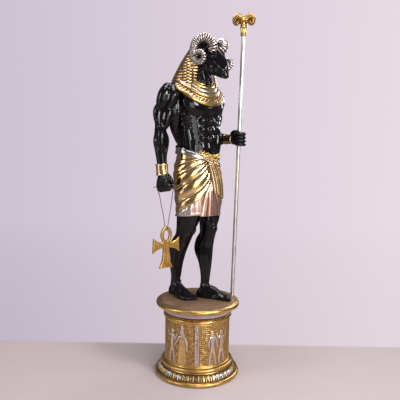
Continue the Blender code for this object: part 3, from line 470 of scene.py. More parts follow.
def grown(name, source, tree, values):
    """Runs a tree on a curve or mesh and returns the plain mesh object that it makes."""
    ob = bpy.data.objects.new(name + " source", source)
    bpy.context.scene.collection.objects.link(ob)
    mod = ob.modifiers.new(tree.name, "NODES")
    mod.node_group = tree
    for item in tree.interface.items_tree:
        if item.item_type == "SOCKET" and item.in_out == "INPUT" and item.name in values:
            mod[item.identifier] = values[item.name]
    ob.update_tag()
    shown = ob.evaluated_get(bpy.context.evaluated_depsgraph_get())
    mesh = bpy.data.meshes.new_from_object(shown)
    ob.modifiers.clear()
    bpy.data.objects.remove(ob, do_unlink=True)
    mesh.name = name
    mesh.materials.clear()
    mesh.materials.append(values["Material"])
    made = bpy.data.objects.new(name, mesh)
    bpy.context.scene.collection.objects.link(made)
    return made


def poly_line(name, points, cyclic=False):
    curve = bpy.data.curves.new(name, "CURVE")
    curve.dimensions = "3D"
    spline = curve.splines.new("POLY")
    spline.points.add(len(points) - 1)
    for point, place in zip(spline.points, points):
        point.co = (*place, 1.0)
    spline.use_cyclic_u = cyclic
    return curve


def feel_hollows(ob, gain=1.0, rounds=3):
    """Stores how hollow (+) or proud (-) each point lies against its neighbours."""
    mesh = ob.data
    count = len(mesh.vertices)
    place = np.empty(count * 3, dtype=np.float32)
    mesh.vertices.foreach_get("co", place)
    place = place.reshape(-1, 3).astype(np.float64)
    normal = np.empty(count * 3, dtype=np.float32)
    mesh.vertices.foreach_get("normal", normal)
    normal = normal.reshape(-1, 3)
    edge = np.empty(len(mesh.edges) * 2, dtype=np.int32)
    mesh.edges.foreach_get("vertices", edge)
    a, b = edge.reshape(-1, 2).T
    near = np.maximum(np.bincount(a, minlength=count) + np.bincount(b, minlength=count), 1)
    span = np.linalg.norm(place[a] - place[b], axis=1).mean()

    def spread(values):
        return (np.bincount(a, values[b], count) + np.bincount(b, values[a], count)) / near

    mean = np.stack([spread(place[:, i]) for i in range(3)], axis=-1)
    bend = ((mean - place) * normal).sum(axis=1) / span
    for _ in range(rounds):
        bend = 0.5 * bend + 0.5 * spread(bend)
    layer = mesh.attributes.get("hollow") or mesh.attributes.new("hollow", "FLOAT", "POINT")
    layer.data.foreach_set("value", np.clip(bend * gain * 12.0, -1.5, 1.5).astype(np.float32))


turned_tree, net, take = geometry_tree("turned moulding", [
    ("Around", "NodeSocketInt", 256), ("Material", "NodeSocketMaterial", None)])
points = net("GeometryNodeAttributeDomainSize", {"component": "CURVE"}, {0: take["Geometry"]})
sheet = net("GeometryNodeMeshGrid", {}, {"Size X": 1.0, "Size Y": 1.0,
                                        "Vertices X": sum_of(net, "ADD", take["Around"], 1.0),
                                        "Vertices Y": points.outputs["Point Count"]})
spot = net("ShaderNodeSeparateXYZ", {}, {0: net("GeometryNodeInputPosition").outputs[0]})
theta = sum_of(net, "MULTIPLY", spot.outputs["X"], 2 * math.pi)
row = sum_of(net, "ADD", spot.outputs["Y"], 0.5)
most = sum_of(net, "SUBTRACT", points.outputs["Point Count"], 1.0)
whole = sum_of(net, "ROUND", sum_of(net, "MULTIPLY", row, most))
read = net("GeometryNodeSampleIndex", {"data_type": "FLOAT_VECTOR", "domain": "POINT"},
           {"Geometry": take["Geometry"], "Value": net("GeometryNodeInputPosition").outputs[0],
            "Index": whole})
edge = net("ShaderNodeSeparateXYZ", {}, {0: read.outputs[0]})
east = sum_of(net, "MULTIPLY", edge.outputs["X"], sum_of(net, "COSINE", theta))
north = sum_of(net, "MULTIPLY", edge.outputs["X"], sum_of(net, "SINE", theta))
spun = net("ShaderNodeCombineXYZ", {}, {"X": east, "Y": north, "Z": edge.outputs["Z"]})
placed = net("GeometryNodeSetPosition", {},
             {"Geometry": sheet.outputs["Mesh"], "Position": spun.outputs[0]})
closed = net("GeometryNodeMergeByDistance", {}, {"Geometry": placed.outputs[0], "Distance": 0.00003})
close_tree(net, closed.outputs[0], take["Material"])


def arc(cx, cz, r, start, end, steps, squeeze=1.0):
    """Points of a round moulding, by angle in degrees from straight out."""
    return [(cx + r * math.cos(math.radians(a)) * squeeze, 0.0, cz + r * math.sin(math.radians(a)))
            for a in (start + (end - start) * i / steps for i in range(steps + 1))]


def outward(ob):
    """Turns every face of a closed piece to the outside."""
    bm = bmesh.new()
    bm.from_mesh(ob.data)
    bmesh.ops.recalc_face_normals(bm, faces=bm.faces)
    bm.to_mesh(ob.data)
    bm.free()


def settle(ob, finish_slot, *nodes):
    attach(ob, "root")
    if nodes:
        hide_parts(*nodes)


moulding_gold = leafed("moulding gold", GOLD, GOLD_SHADE, reach=0.88, polish=0.25, grain=16.0)
top_gold = leafed("top gold", (0.68, 0.45, 0.27), (0.44, 0.27, 0.14), wash=(0.21, 0.120, 0.068),
                  grain=9.0, reach=1.30, polish=0.30, dent=0.35)
top = 0.5
rim = SLAB_THICKNESS / 2
slab = [(r, 0.0, top) for r in (0.0, 0.06, 0.12, 0.18, 0.225, 0.25)]
slab += [(SLAB_RADIUS - 0.0195, 0.0, top), (SLAB_RADIUS - 0.0185, 0.0, top - 0.0012)]
slab += arc(SLAB_RADIUS - rim + 0.003, top - rim - 0.0002, rim - 0.001, 84.0, -88.0, 18, 0.85)
slab += [(SLAB_RADIUS - 0.022, 0.0, top - SLAB_THICKNESS + 0.0012), (0.20, 0.0, top - SLAB_THICKNESS),
         (0.0, 0.0, top - SLAB_THICKNESS)]
slab_piece = grown("plinth_top", poly_line("slab edge", slab), turned_tree,
                   {"Around": 240, "Material": moulding_gold})
outward(slab_piece)
feel_hollows(slab_piece)
slab_piece.data.materials.append(top_gold)
for face in slab_piece.data.polygons:
    x, y, z = face.center
    if z > top - 0.0006 and math.hypot(x, y) < SLAB_RADIUS - 0.019:
        face.material_index = 1
settle(slab_piece, "gold leaf", "plinth")

cove_silver = leafed("cove silver", (0.72, 0.68, 0.72), (0.52, 0.46, 0.50), wash=(0.56, 0.49, 0.53),
                     reach=1.6, polish=0.10, grain=24.0)
foot_bed = leafed("leaf bed brown", (0.26, 0.13, 0.04), (0.12, 0.05, 0.02), wash=(0.100, 0.042, 0.016),
                  grain=30.0, reach=1.15, polish=0.30, dent=0.5)
neck_low = DRUM_TOP - 0.004
neck_high = top - SLAB_THICKNESS + 0.003
bed = DRUM_RADIUS + 0.0085
neck = [(bed - 0.012, 0.0, neck_high), (SLAB_RADIUS - 0.022, 0.0, neck_high)]
neck += arc(0.2500, 0.4655, 0.0045, 50, -60, 6)
neck += [(0.2490 - 0.0170 * f - 0.0030 * math.sin(math.pi * f), 0.0, 0.4610 - 0.0280 * f)
         for f in (i / 10 for i in range(1, 11))]
neck += [(bed + 0.001, 0.0, 0.4325), (bed, 0.0, 0.4295), (bed, 0.0, BEAD_LEVEL - 0.0075)]
neck += arc(DRUM_RADIUS + 0.0065, 0.4045, 0.0088, 80, -80, 12)
neck += arc(DRUM_RADIUS + 0.0015, 0.3925, 0.0036, 70, -80, 6)
neck += [(bed - 0.012, 0.0, neck_low), (bed - 0.012, 0.0, neck_high)]
neck_piece = grown("plinth_neck", poly_line("neck edge", neck), turned_tree,
                   {"Around": 224, "Material": moulding_gold})
outward(neck_piece)
feel_hollows(neck_piece, 0.8)
neck_piece.data.materials.append(cove_silver)
neck_piece.data.materials.append(foot_bed)
for face in neck_piece.data.polygons:
    if 0.4345 < face.center.z < 0.4645:
        face.material_index = 1
    elif 0.4130 < face.center.z < 0.4345:
        face.material_index = 2
settle(neck_piece, "gold leaf")

inner = DRUM_RADIUS - 0.008
base = [(inner, 0.0, DRUM_BOTTOM + 0.004), (DRUM_RADIUS + 0.001, 0.0, DRUM_BOTTOM + 0.003)]
base += arc(DRUM_RADIUS + 0.0045, DRUM_BOTTOM - 0.0035, 0.0062, 120, -20, 8)
base += [(DRUM_RADIUS + 0.012, 0.0, 0.0985)]
base += arc(DRUM_RADIUS + 0.0170, 0.0885, 0.0108, 112, -60, 14)
base += [(DRUM_RADIUS + 0.0245, 0.0, 0.0765), (DRUM_RADIUS + 0.0275, 0.0, 0.0745),
         (DRUM_RADIUS + 0.0278, 0.0, 0.0720), (DRUM_RADIUS + 0.0262, 0.0, LEAF_BAND_TOP)]
for i in range(1, 9):
    f = i / 9
    sag = 0.0035 * math.sin(math.pi * f)
    base.append((DRUM_RADIUS + 0.0262 + (FOOT_RADIUS - 0.0145 - DRUM_RADIUS - 0.0262) * f - sag, 0.0,
                 LEAF_BAND_TOP + (FOOT_ROLL + 0.0015 - LEAF_BAND_TOP) * f - sag * 0.7))
base += [(FOOT_RADIUS - 0.0145, 0.0, FOOT_ROLL + 0.0008)]
base += arc(FOOT_RADIUS - 0.0144, FOOT_ROLL / 2, FOOT_ROLL / 2 - 0.0003, 84, -84, 18, 0.97)
base += [(FOOT_RADIUS - 0.016, 0.0, 0.0002), (inner, 0.0, 0.0002), (inner, 0.0, DRUM_BOTTOM + 0.004)]
base_piece = grown("plinth_foot", poly_line("foot edge", base), turned_tree,
                   {"Around": 208, "Material": moulding_gold})
outward(base_piece)
feel_hollows(base_piece, 0.8)
base_piece.data.materials.append(foot_bed)
for face in base_piece.data.polygons:
    r = math.hypot(face.center.x, face.center.y)
    if FOOT_ROLL + 0.0012 < face.center.z < 0.0745 and r > DRUM_RADIUS + 0.02:
        face.material_index = 1
settle(base_piece, "gold leaf")

# Bead row: small cast beads pressed side by side into the bed under the cove, bright on top and
# brown between.
BEADS = 108
bead_gold = leafed("bead gold", (0.80, 0.53, 0.19), (0.48, 0.27, 0.07), grain=60.0, reach=0.80, polish=0.22)
ring_tree, net, take = geometry_tree("beads on a ring", [
    ("Count", "NodeSocketInt", 100), ("Ring radius", "NodeSocketFloat", 0.2),
    ("Level", "NodeSocketFloat", 0.4), ("Bead", "NodeSocketFloat", 0.005),
    ("Material", "NodeSocketMaterial", None)])
loop = net("GeometryNodeCurvePrimitiveCircle", {"mode": "RADIUS"},
           {"Resolution": take["Count"], "Radius": take["Ring radius"]})
bead = net("GeometryNodeMeshUVSphere", {}, {"Segments": 8, "Rings": 6, "Radius": take["Bead"]})
beads = net("GeometryNodeInstanceOnPoints", {},
            {"Points": loop.outputs[0], "Instance": bead.outputs["Mesh"]})
lift = net("ShaderNodeCombineXYZ", {}, {"Z": take["Level"]})
raised = net("GeometryNodeTransform", {}, {"Geometry": beads.outputs[0], "Translation": lift.outputs[0]})
close_tree(net, raised.outputs[0], take["Material"])
bead_row = grown("plinth_beads", poly_line("bead ring", [(0, 0, 0), (0.01, 0, 0)]), ring_tree, {
    "Count": BEADS, "Ring radius": bed + 0.0012, "Level": BEAD_LEVEL, "Bead": 0.0042,
    "Material": bead_gold})
place = np.array([tuple(v.co) for v in bead_row.data.vertices])
radial = np.hypot(place[:, 0], place[:, 1])
layer = bead_row.data.attributes.new("hollow", "FLOAT", "POINT")
layer.data.foreach_set("value", np.clip((bed + 0.0040 - radial) / 0.003, -0.6, 1.0).astype(np.float32))
settle(bead_row, "gold leaf")

# Leaf band: upright lotus leaves and thin reeds cast on the sloping foot, their tips rubbed bright
# and some of them silvered, standing in dark brown.
LEAF_COUNT = 48
leaf_gold = leafed("leaf tips gold", (0.86, 0.64, 0.30), (0.52, 0.30, 0.09), second=(0.86, 0.82, 0.76),
                   grain=45.0, reach=0.80, polish=0.24)
low = Vector((FOOT_RADIUS - 0.0165, 0, FOOT_ROLL + 0.0035))
high = Vector((DRUM_RADIUS + 0.0270, 0, LEAF_BAND_TOP - 0.0015))
slope = (high - low)
reach = slope.length
slope.normalize()
outside = Vector((slope.z, 0, -slope.x))
half = math.pi * (FOOT_RADIUS + DRUM_RADIUS) / 2 / LEAF_COUNT
leaf_places = []
leaf_faces = []
leaf_hollow = []


def add_leaf(middle, wide, start, tall, proud):
    """A pointed leaf with a midrib and a raised edge, as a small grid."""
    rows, columns = 8, 7
    first = len(leaf_places)
    for j in range(rows):
        v = j / (rows - 1)
        spread = wide * (math.sin(math.pi * min(1.0, 0.12 + v * 0.88)) ** 0.75 + 0.06) * (1.0 - 0.25 * v)
        for i in range(columns):
            u = 2 * i / (columns - 1) - 1
            crest = max(0.0, 1 - abs(u) * 3.2) * 0.9 + (0.65 if 0.5 < abs(u) < 0.9 else 0.0)
            edge = 0.0 if abs(u) > 0.99 or j in (0, rows - 1) else 1.0
            curl = 0.35 * v * v
            out = proud * edge * (0.45 + 0.55 * crest + curl) - 0.0012 * (1 - edge)
            along, aside = slope * (start + tall * v) * reach, Vector((0, middle + u * spread, 0))
            p = low + along + outside * out + aside
            leaf_places.append((p.x, p.y, p.z))
            leaf_hollow.append(0.9 if edge == 0 else 0.55 - 1.2 * crest)
    for j in range(rows - 1):
        for i in range(columns - 1):
            a = first + j * columns + i
            leaf_faces.append((a, a + 1, a + columns + 1, a + columns))


add_leaf(0.0, half * 0.36, 0.04, 0.94, 0.0042)
add_leaf(half, half * 0.17, 0.10, 0.66, 0.0036)
add_leaf(half * 0.60, half * 0.10, 0.42, 0.50, 0.0028)
add_leaf(-half * 0.60, half * 0.10, 0.42, 0.50, 0.0028)
motif = new_piece("leaf motif", leaf_places, [leaf_faces], leaf_gold, True, {"hollow": leaf_hollow})
around_tree, net, take = geometry_tree("motifs round a foot", [
    ("Count", "NodeSocketInt", 40), ("Motif", "NodeSocketObject", None), ("Seed", "NodeSocketInt", 3),
    ("Material", "NodeSocketMaterial", None)])
loop = net("GeometryNodeCurvePrimitiveCircle", {"mode": "RADIUS"},
           {"Resolution": take["Count"], "Radius": 0.001})
one = net("GeometryNodeObjectInfo", {}, {"Object": take["Motif"]})
step = sum_of(net, "DIVIDE", 2 * math.pi, take["Count"])
spin = sum_of(net, "MULTIPLY", net("GeometryNodeInputIndex").outputs[0], step)
facing = net("ShaderNodeCombineXYZ", {}, {"Z": spin})
dots = net("GeometryNodeCurveToPoints", {"mode": "EVALUATED"}, {0: loop.outputs[0]})
home = net("GeometryNodeSetPosition", {}, {"Geometry": dots.outputs[0], "Position": (0, 0, 0)})
chance = net("FunctionNodeRandomValue", {"data_type": "FLOAT"}, {2: 0.0, 3: 1.0, "Seed": take["Seed"]})
some = net("ShaderNodeMapRange", {}, {0: chance.outputs[1], 1: 0.45, 2: 0.75, 3: 0.0, 4: 1.0})
told = net("GeometryNodeStoreNamedAttribute", {"data_type": "FLOAT", "domain": "POINT"},
           {"Geometry": home.outputs[0], "Name": "silver", "Value": some.outputs[0]})
leaves = net("GeometryNodeInstanceOnPoints", {},
             {"Points": told.outputs[0], "Instance": one.outputs["Geometry"],
                                                 "Rotation": facing.outputs[0]})
close_tree(net, leaves.outputs[0], take["Material"])
leaf_row = grown("plinth_leaves", poly_line("leaf ring", [(0, 0, 0), (0.01, 0, 0)]), around_tree, {
    "Count": LEAF_COUNT, "Motif": motif, "Material": leaf_gold})
bpy.data.objects.remove(motif, do_unlink=True)
settle(leaf_row, "gold leaf")

# Drum: cast resin with low figures in four panels between speckled silver strips, on a ground of rows
# of small strokes. Gold leaf, silvered limbs and crowns, brown wash left in everything hollow.
PANELS = 4
STRIP_WIDTH = 0.028
DRUM_COLUMNS = 544
DRUM_ROWS = 108
drum_leaf = leafed("drum leaf", (0.94, 0.66, 0.24), (0.78, 0.48, 0.14), wash=(0.20, 0.075, 0.022),
                   grain=34.0, reach=0.70, polish=0.26)
drum_pick = np.random.default_rng(11)
drum_turn = math.radians(-48.0) + 2 * math.pi * np.arange(DRUM_COLUMNS) / DRUM_COLUMNS
drum_high = np.linspace(DRUM_BOTTOM + 0.0002, DRUM_TOP - 0.0002, DRUM_ROWS)
height = np.zeros((DRUM_ROWS, DRUM_COLUMNS))
silvering = np.zeros((DRUM_ROWS, DRUM_COLUMNS))
wash_and_outline_shadow = np.zeros((DRUM_ROWS, DRUM_COLUMNS))
panel_columns = DRUM_COLUMNS // PANELS
panel_wide = 2 * math.pi * DRUM_RADIUS / PANELS
flat_u, flat_w = np.meshgrid(panel_wide * np.arange(panel_columns) / panel_columns, drum_high - DRUM_BOTTOM)


def stroke(u, w, points, radii):
    """Distance to a flat tapering stroke through points."""
    best = np.full(u.shape, 9.0)
    for (x0, z0), (x1, z1), r0, r1 in zip(points[:-1], points[1:], radii[:-1], radii[1:]):
        dx, dz = x1 - x0, z1 - z0
        h = np.clip(((u - x0) * dx + (w - z0) * dz) / max(dx * dx + dz * dz, 1e-9), 0, 1)
        best = np.minimum(best, np.hypot(u - x0 - h * dx, w - z0 - h * dz) - (r0 + (r1 - r0) * h))
    return best


FIGURE_STROKES = {
    "striding": [
        ("limb", [(-0.013, 0.013), (-0.010, 0.055), (0.002, 0.104)], (0.0038, 0.0055, 0.0075)),
        ("limb", [(0.027, 0.013), (0.023, 0.058), (0.013, 0.104)], (0.0038, 0.0055, 0.0075)),
        ("limb", [(-0.014, 0.007), (0.000, 0.005)], (0.0042, 0.0028)),
        ("limb", [(0.027, 0.007), (0.041, 0.005)], (0.0042, 0.0028)),
        ("cloth", [(0.006, 0.126), (0.007, 0.112), (0.009, 0.090)], (0.0095, 0.0125, 0.0150)),
        ("limb", [(0.007, 0.130), (0.008, 0.158), (0.008, 0.182)], (0.0080, 0.0105, 0.0120)),
        ("limb", [(-0.008, 0.188), (0.024, 0.188)], (0.0058, 0.0058)),
        ("limb", [(0.009, 0.194), (0.010, 0.206)], (0.0042, 0.0042)),
        ("wig", [(0.004, 0.226), (-0.001, 0.202)], (0.0085, 0.0060)),
        ("limb", [(0.012, 0.219), (0.018, 0.217)], (0.0080, 0.0045)),
    ],
    "arm down": [("limb", [(0.026, 0.188), (0.036, 0.154), (0.041, 0.118)], (0.0048, 0.0042, 0.0030)),
                 ("limb", [(-0.009, 0.187), (-0.018, 0.152), (-0.015, 0.118)], (0.0048, 0.0042, 0.0030))],
    "arms up": [("limb", [(0.024, 0.187), (0.034, 0.168), (0.049, 0.206)], (0.0048, 0.0040, 0.0030)),
                ("limb", [(-0.008, 0.187), (-0.022, 0.176), (-0.030, 0.212)], (0.0048, 0.0040, 0.0030)),
                ("wig", [(0.052, 0.215), (0.060, 0.226), (0.054, 0.236)], (0.0022, 0.0022, 0.0022))],
    "robed": [
        ("robe", [(0.008, 0.020), (0.008, 0.090), (0.008, 0.165)], (0.0235, 0.0200, 0.0140)),
        ("robe", [(-0.012, 0.012), (0.030, 0.012)], (0.0070, 0.0070)),
        ("limb", [(0.004, 0.005), (0.030, 0.005)], (0.0042, 0.0042)),
        ("limb", [(-0.008, 0.188), (0.026, 0.188)], (0.0062, 0.0062)),
        ("limb", [(0.009, 0.196), (0.010, 0.208)], (0.0050, 0.0050)),
        ("limb", [(0.012, 0.219), (0.018, 0.217)], (0.0085, 0.0050)),
        ("wig", [(0.003, 0.222), (-0.002, 0.202)], (0.0075, 0.0060)),
        ("limb", [(0.010, 0.230), (0.007, 0.252), (0.009, 0.264)], (0.0095, 0.0072, 0.0052)),
        ("limb", [(0.027, 0.188), (0.038, 0.158), (0.056, 0.124)], (0.0052, 0.0044, 0.0032)),
        ("limb", [(-0.010, 0.188), (-0.019, 0.150), (-0.020, 0.100)], (0.0052, 0.0044, 0.0034)),
    ],
}
CASTS = ((("striding", "arm down"), ("striding", "arms up")), (("striding", "arms up"), ("robed",)))
LEAF_OF = {"limb": 0.95, "cloth": 0.05, "wig": 0.35, "robe": 0.08}
for panel in range(PANELS):
    columns = slice(panel * panel_columns, (panel + 1) * panel_columns)
    cast = CASTS[panel % 2]
    nearest = np.full(flat_u.shape, 9.0)
    tall = np.zeros(flat_u.shape)
    bright = np.zeros(flat_u.shape)
    for place, kinds in enumerate(cast):
        facing = 1.0 if place == 0 or panel % 2 == 0 else -1.0
        at = panel_wide * ((0.43, 0.73)[place] if panel % 2 else (0.29, 0.51)[place])
        u = (flat_u - at) * facing / (1.22 if kinds[0] == "robed" else 1.12)
        w = (flat_w - 0.010) / 0.96
        for kind in kinds:
            for what, points, radii in FIGURE_STROKES[kind]:
                d = stroke(u, w, points, radii) - 0.0016
                rise = np.clip(-d / 0.0034, 0, 1) ** 0.5 * (0.0047 if what == "limb" else 0.0036)
                if what in ("cloth", "robe"):
                    rise = rise * (0.86 + 0.14 * np.cos(u * (760.0 if what == "robe" else 1500.0)))
                if what == "wig":
                    rise = rise * (0.86 + 0.14 * np.cos(w * 1800.0))
                on = rise > tall
                bright = np.where(on & (d < 0.0004), LEAF_OF[what], bright)
                tall = np.maximum(tall, rise)
                nearest = np.minimum(nearest, d)
    ground = np.zeros(flat_u.shape)
    for row in range(20):
        w0 = 0.0150 + row * 0.0134
        u0 = 0.022
        while u0 < panel_wide - 0.022:
            kind = drum_pick.integers(0, 6)
            long = 0.0032 + 0.0022 * drum_pick.random()
            if kind == 0:
                d = stroke(flat_u, flat_w, [(u0 - long, w0), (u0 + long, w0)], (0.0024, 0.0024))
            elif kind == 1:
                d = stroke(flat_u, flat_w, [(u0, w0 - long), (u0, w0 + long)], (0.0024, 0.0024))
            elif kind == 2:
                d = np.abs(np.hypot(flat_u - u0, flat_w - w0) - 0.0034) - 0.0014
            elif kind == 3:
                d = np.minimum(*(stroke(flat_u, flat_w, [(x, w0 - 0.004), (x, w0 + 0.004)],
                                        (0.0013, 0.0013))
                                 for x in (u0 - 0.0026, u0 + 0.0028)))
            elif kind == 4:
                d = stroke(flat_u, flat_w, [(u0 - long, w0 - 0.003), (u0 + long, w0 + 0.003)],
                           (0.0021, 0.0024))
            else:
                d = np.hypot(flat_u - u0, flat_w - w0) - 0.0030
            ground = np.maximum(ground, np.clip(-d / 0.0014, 0, 1) ** 0.7 * 0.0030)
            u0 += 0.0104 + 0.0036 * drum_pick.random()
    ground *= np.clip((nearest - 0.0015) / 0.002, 0, 1)
    strip = np.minimum(flat_u, panel_wide - flat_u)
    in_strip = np.clip((STRIP_WIDTH / 2 - strip) / 0.0015, 0, 1) * np.clip((flat_w - 0.008) / 0.001, 0, 1)
    in_strip = in_strip * np.clip((0.276 - flat_w) / 0.001, 0, 1)
    edge = np.clip(1 - np.abs(strip - STRIP_WIDTH / 2 + 0.003) / 0.0022, 0, 1) ** 0.6
    pitted = drum_pick.random(flat_u.shape) * 0.0016
    tall = np.maximum(np.maximum(tall, ground), in_strip * (0.0022 + pitted + 0.0022 * edge))
    bright = np.where(in_strip > 0.4, 0.95, bright)
    band = np.maximum(*(np.clip(1 - np.abs(flat_w - level) / 0.0035, 0, 1) for level in (0.005, 0.279)))
    tall = np.maximum(tall, 0.0036 * band ** 0.5)
    height[:, columns] = tall
    open_ground = np.clip((nearest - 0.0040) / 0.001, 0, 1) * (1 - in_strip) * (1 - band)
    # Painted shadow: a dark ring along every figure's edge, on the figure and on the ground beside it.
    outline = np.clip(1 - np.abs(nearest - 0.0015) / 0.0030, 0, 1) * (1 - in_strip)
    cells = np.kron(drum_pick.random((36, 46)), np.ones((3, 3)))[:DRUM_ROWS, :panel_columns]
    wander = 2.0 * np.sin(flat_w * 60.0)
    patchy = 0.55 + 0.45 * np.sin(flat_u * 95.0 + wander) * np.sin(flat_w * 74.0 + panel)
    wash_and_outline_shadow[:, columns] = (0.95 * patchy * open_ground * (1 - ground / 0.0030) + 0.75 * outline
                           + 0.45 * in_strip * (cells > 0.55))
    silvering[:, columns] = bright


def softened(values, rounds):
    for _ in range(rounds):
        values = (np.roll(values, 1, axis=1) + 2 * values + np.roll(values, -1, axis=1)) / 4
        padded = np.concatenate([values[:1], values, values[-1:]])
        values = (padded[:-2] + 2 * padded[1:-1] + padded[2:]) / 4
    return values


# Wash in the drum's hollows and low ground, with the painted shadow ring round the figures added in.
drum_wash_and_shadow = (softened(height, 4) - height) * 420.0 + 0.14 - height * 30.0 + wash_and_outline_shadow
radius = DRUM_RADIUS - 0.0012 + height
places = np.stack([radius * np.sin(drum_turn)[None], -radius * np.cos(drum_turn)[None],
                   drum_high[:, None] + 0 * radius], axis=-1)
drum = skin("drum_relief", places, drum_leaf, True, {"hollow": drum_wash_and_shadow, "silver": softened(silvering, 1)})
outward(drum)
settle(drum, "gold leaf", "plinth")

# Legs and feet: fiberglass cast, sanded and sprayed with deep black gloss lacquer. The left foot is
# set forward, the right one back; above the hem the kilt hides where they join the hips.
BLACK = (0.0105, 0.0100, 0.0115)
LEG_PITCH = 0.43
LEFT_LEG = [
    (5.5, -1.7, 3.0, 3.3, 4.2), (5.5, -1.4, 9.0, 3.0, 3.7), (5.8, -1.6, 15.0, 3.4, 4.0),
    (6.1, -0.8, 22.0, 4.5, 5.1), (6.4, 0.4, 30.0, 5.7, 6.3), (6.8, 0.4, 36.0, 5.9, 6.3),
    (7.2, -1.8, 43.0, 5.4, 5.9), (7.5, -2.6, 47.0, 5.6, 6.1), (8.0, -2.0, 54.0, 6.4, 6.7),
    (8.6, -1.0, 64.0, 8.0, 8.2), (9.0, 0.0, 76.0, 9.0, 9.3), (9.0, 1.0, 90.0, 9.4, 10.0),
]
RIGHT_LEG = [
    (-3.6, 18.0, 3.0, 3.3, 4.2), (-3.8, 17.2, 9.0, 3.0, 3.7), (-4.3, 16.6, 15.0, 3.3, 3.8),
    (-5.1, 15.8, 22.0, 4.3, 4.8), (-6.0, 13.6, 30.0, 5.5, 5.9), (-6.7, 10.8, 36.0, 6.1, 6.4),
    (-7.3, 6.6, 43.0, 6.0, 6.3), (-7.6, 4.4, 47.0, 6.1, 6.4), (-8.0, 2.8, 54.0, 6.9, 7.1),
    (-8.5, 1.8, 64.0, 8.3, 8.4), (-9.0, 1.5, 76.0, 9.2, 9.5), (-9.0, 2.0, 90.0, 9.4, 10.0),
]
FOOT = [
    (0.0, 1.6, 2.6), (0.9, 2.7, 5.2), (3.0, 3.3, 7.6), (6.0, 3.4, 9.6), (9.5, 3.4, 8.8),
    (13.0, 3.7, 6.7), (16.5, 4.3, 5.0), (19.5, 4.6, 3.6), (21.4, 4.3, 2.8), (22.6, 3.6, 2.0),
]
TOES = [
    (23.6, 3.0, 1.9, 2.6, 1.55), (23.4, 1.0, 1.3, 2.3, 1.25), (22.6, -0.8, 1.2, 2.1, 1.15),
    (21.5, -2.5, 1.15, 2.0, 1.05), (20.0, -4.0, 1.1, 1.9, 0.95),
]
LEG_MUSCLES = [
    ([(-2.2, -3.4, 45), (-2.7, -3.6, 39), (-2.4, -3.5, 32), (-1.1, -3.4, 24)], [1.5, 2.9, 2.9, 1.2]),
    ([(2.0, -3.6, 45), (2.5, -3.5, 39), (2.5, -3.2, 33), (1.5, -2.8, 26)], [1.5, 2.7, 2.6, 1.2]),
    ([(1.3, 2.6, 42), (1.7, 3.3, 36), (1.2, 3.4, 26), (0.2, 2.6, 15)], [1.4, 2.2, 1.8, 0.9]),
    ([(-0.8, 4.3, 42), (-0.7, 4.9, 35), (-0.5, 4.2, 24), (-0.1, 2.8, 13)], [1.0, 0.8, 0.8, 0.8]),
    ([(3.9, -0.2, 40), (3.8, 0.5, 32), (2.6, 0.1, 22), (1.6, -1.4, 12)], [1.2, 1.7, 1.3, 0.9]),
    ([(0.0, -4.4, 22), (-0.2, -3.6, 13), (-0.2, -3.4, 6)], [1.4, 0.95, 1.2]),
    ([(0.0, 5.7, 46), (-0.2, 4.9, 41.5)], [1.15, 1.0]),
    ([(-3.3, 3.2, 60), (-3.7, 3.5, 54), (-2.8, 3.9, 50)], [3.0, 2.6, 1.4]),
    ([(2.6, 3.6, 62), (3.0, 3.3, 55), (2.2, 3.4, 51)], [3.4, 2.6, 1.3]),
    ([(0.0, 5.0, 66), (-0.2, 4.9, 58), (-0.1, 5.0, 52)], [3.4, 2.5, 1.2]),
    ([(-3.2, -4.2, 58), (-3.2, -4.6, 49), (-2.7, -4.0, 43)], [2.3, 1.2, 0.9]),
    ([(3.0, -4.4, 58), (3.3, -4.7, 49), (2.9, -4.0, 43)], [2.3, 1.2, 0.9]),
]


def bell_eased(values, wide):
    """Rows of values eased over a bell's width, running straight on past both ends."""
    kernel = np.hanning(2 * wide + 1)
    kernel /= kernel.sum()
    before, after = 2 * values[:1] - values[wide:0:-1], 2 * values[-1:] - values[-2:-2 - wide:-1]
    padded = np.concatenate([before, values, after])
    return np.stack([np.convolve(column, kernel, "valid") for column in padded.T], axis=-1)


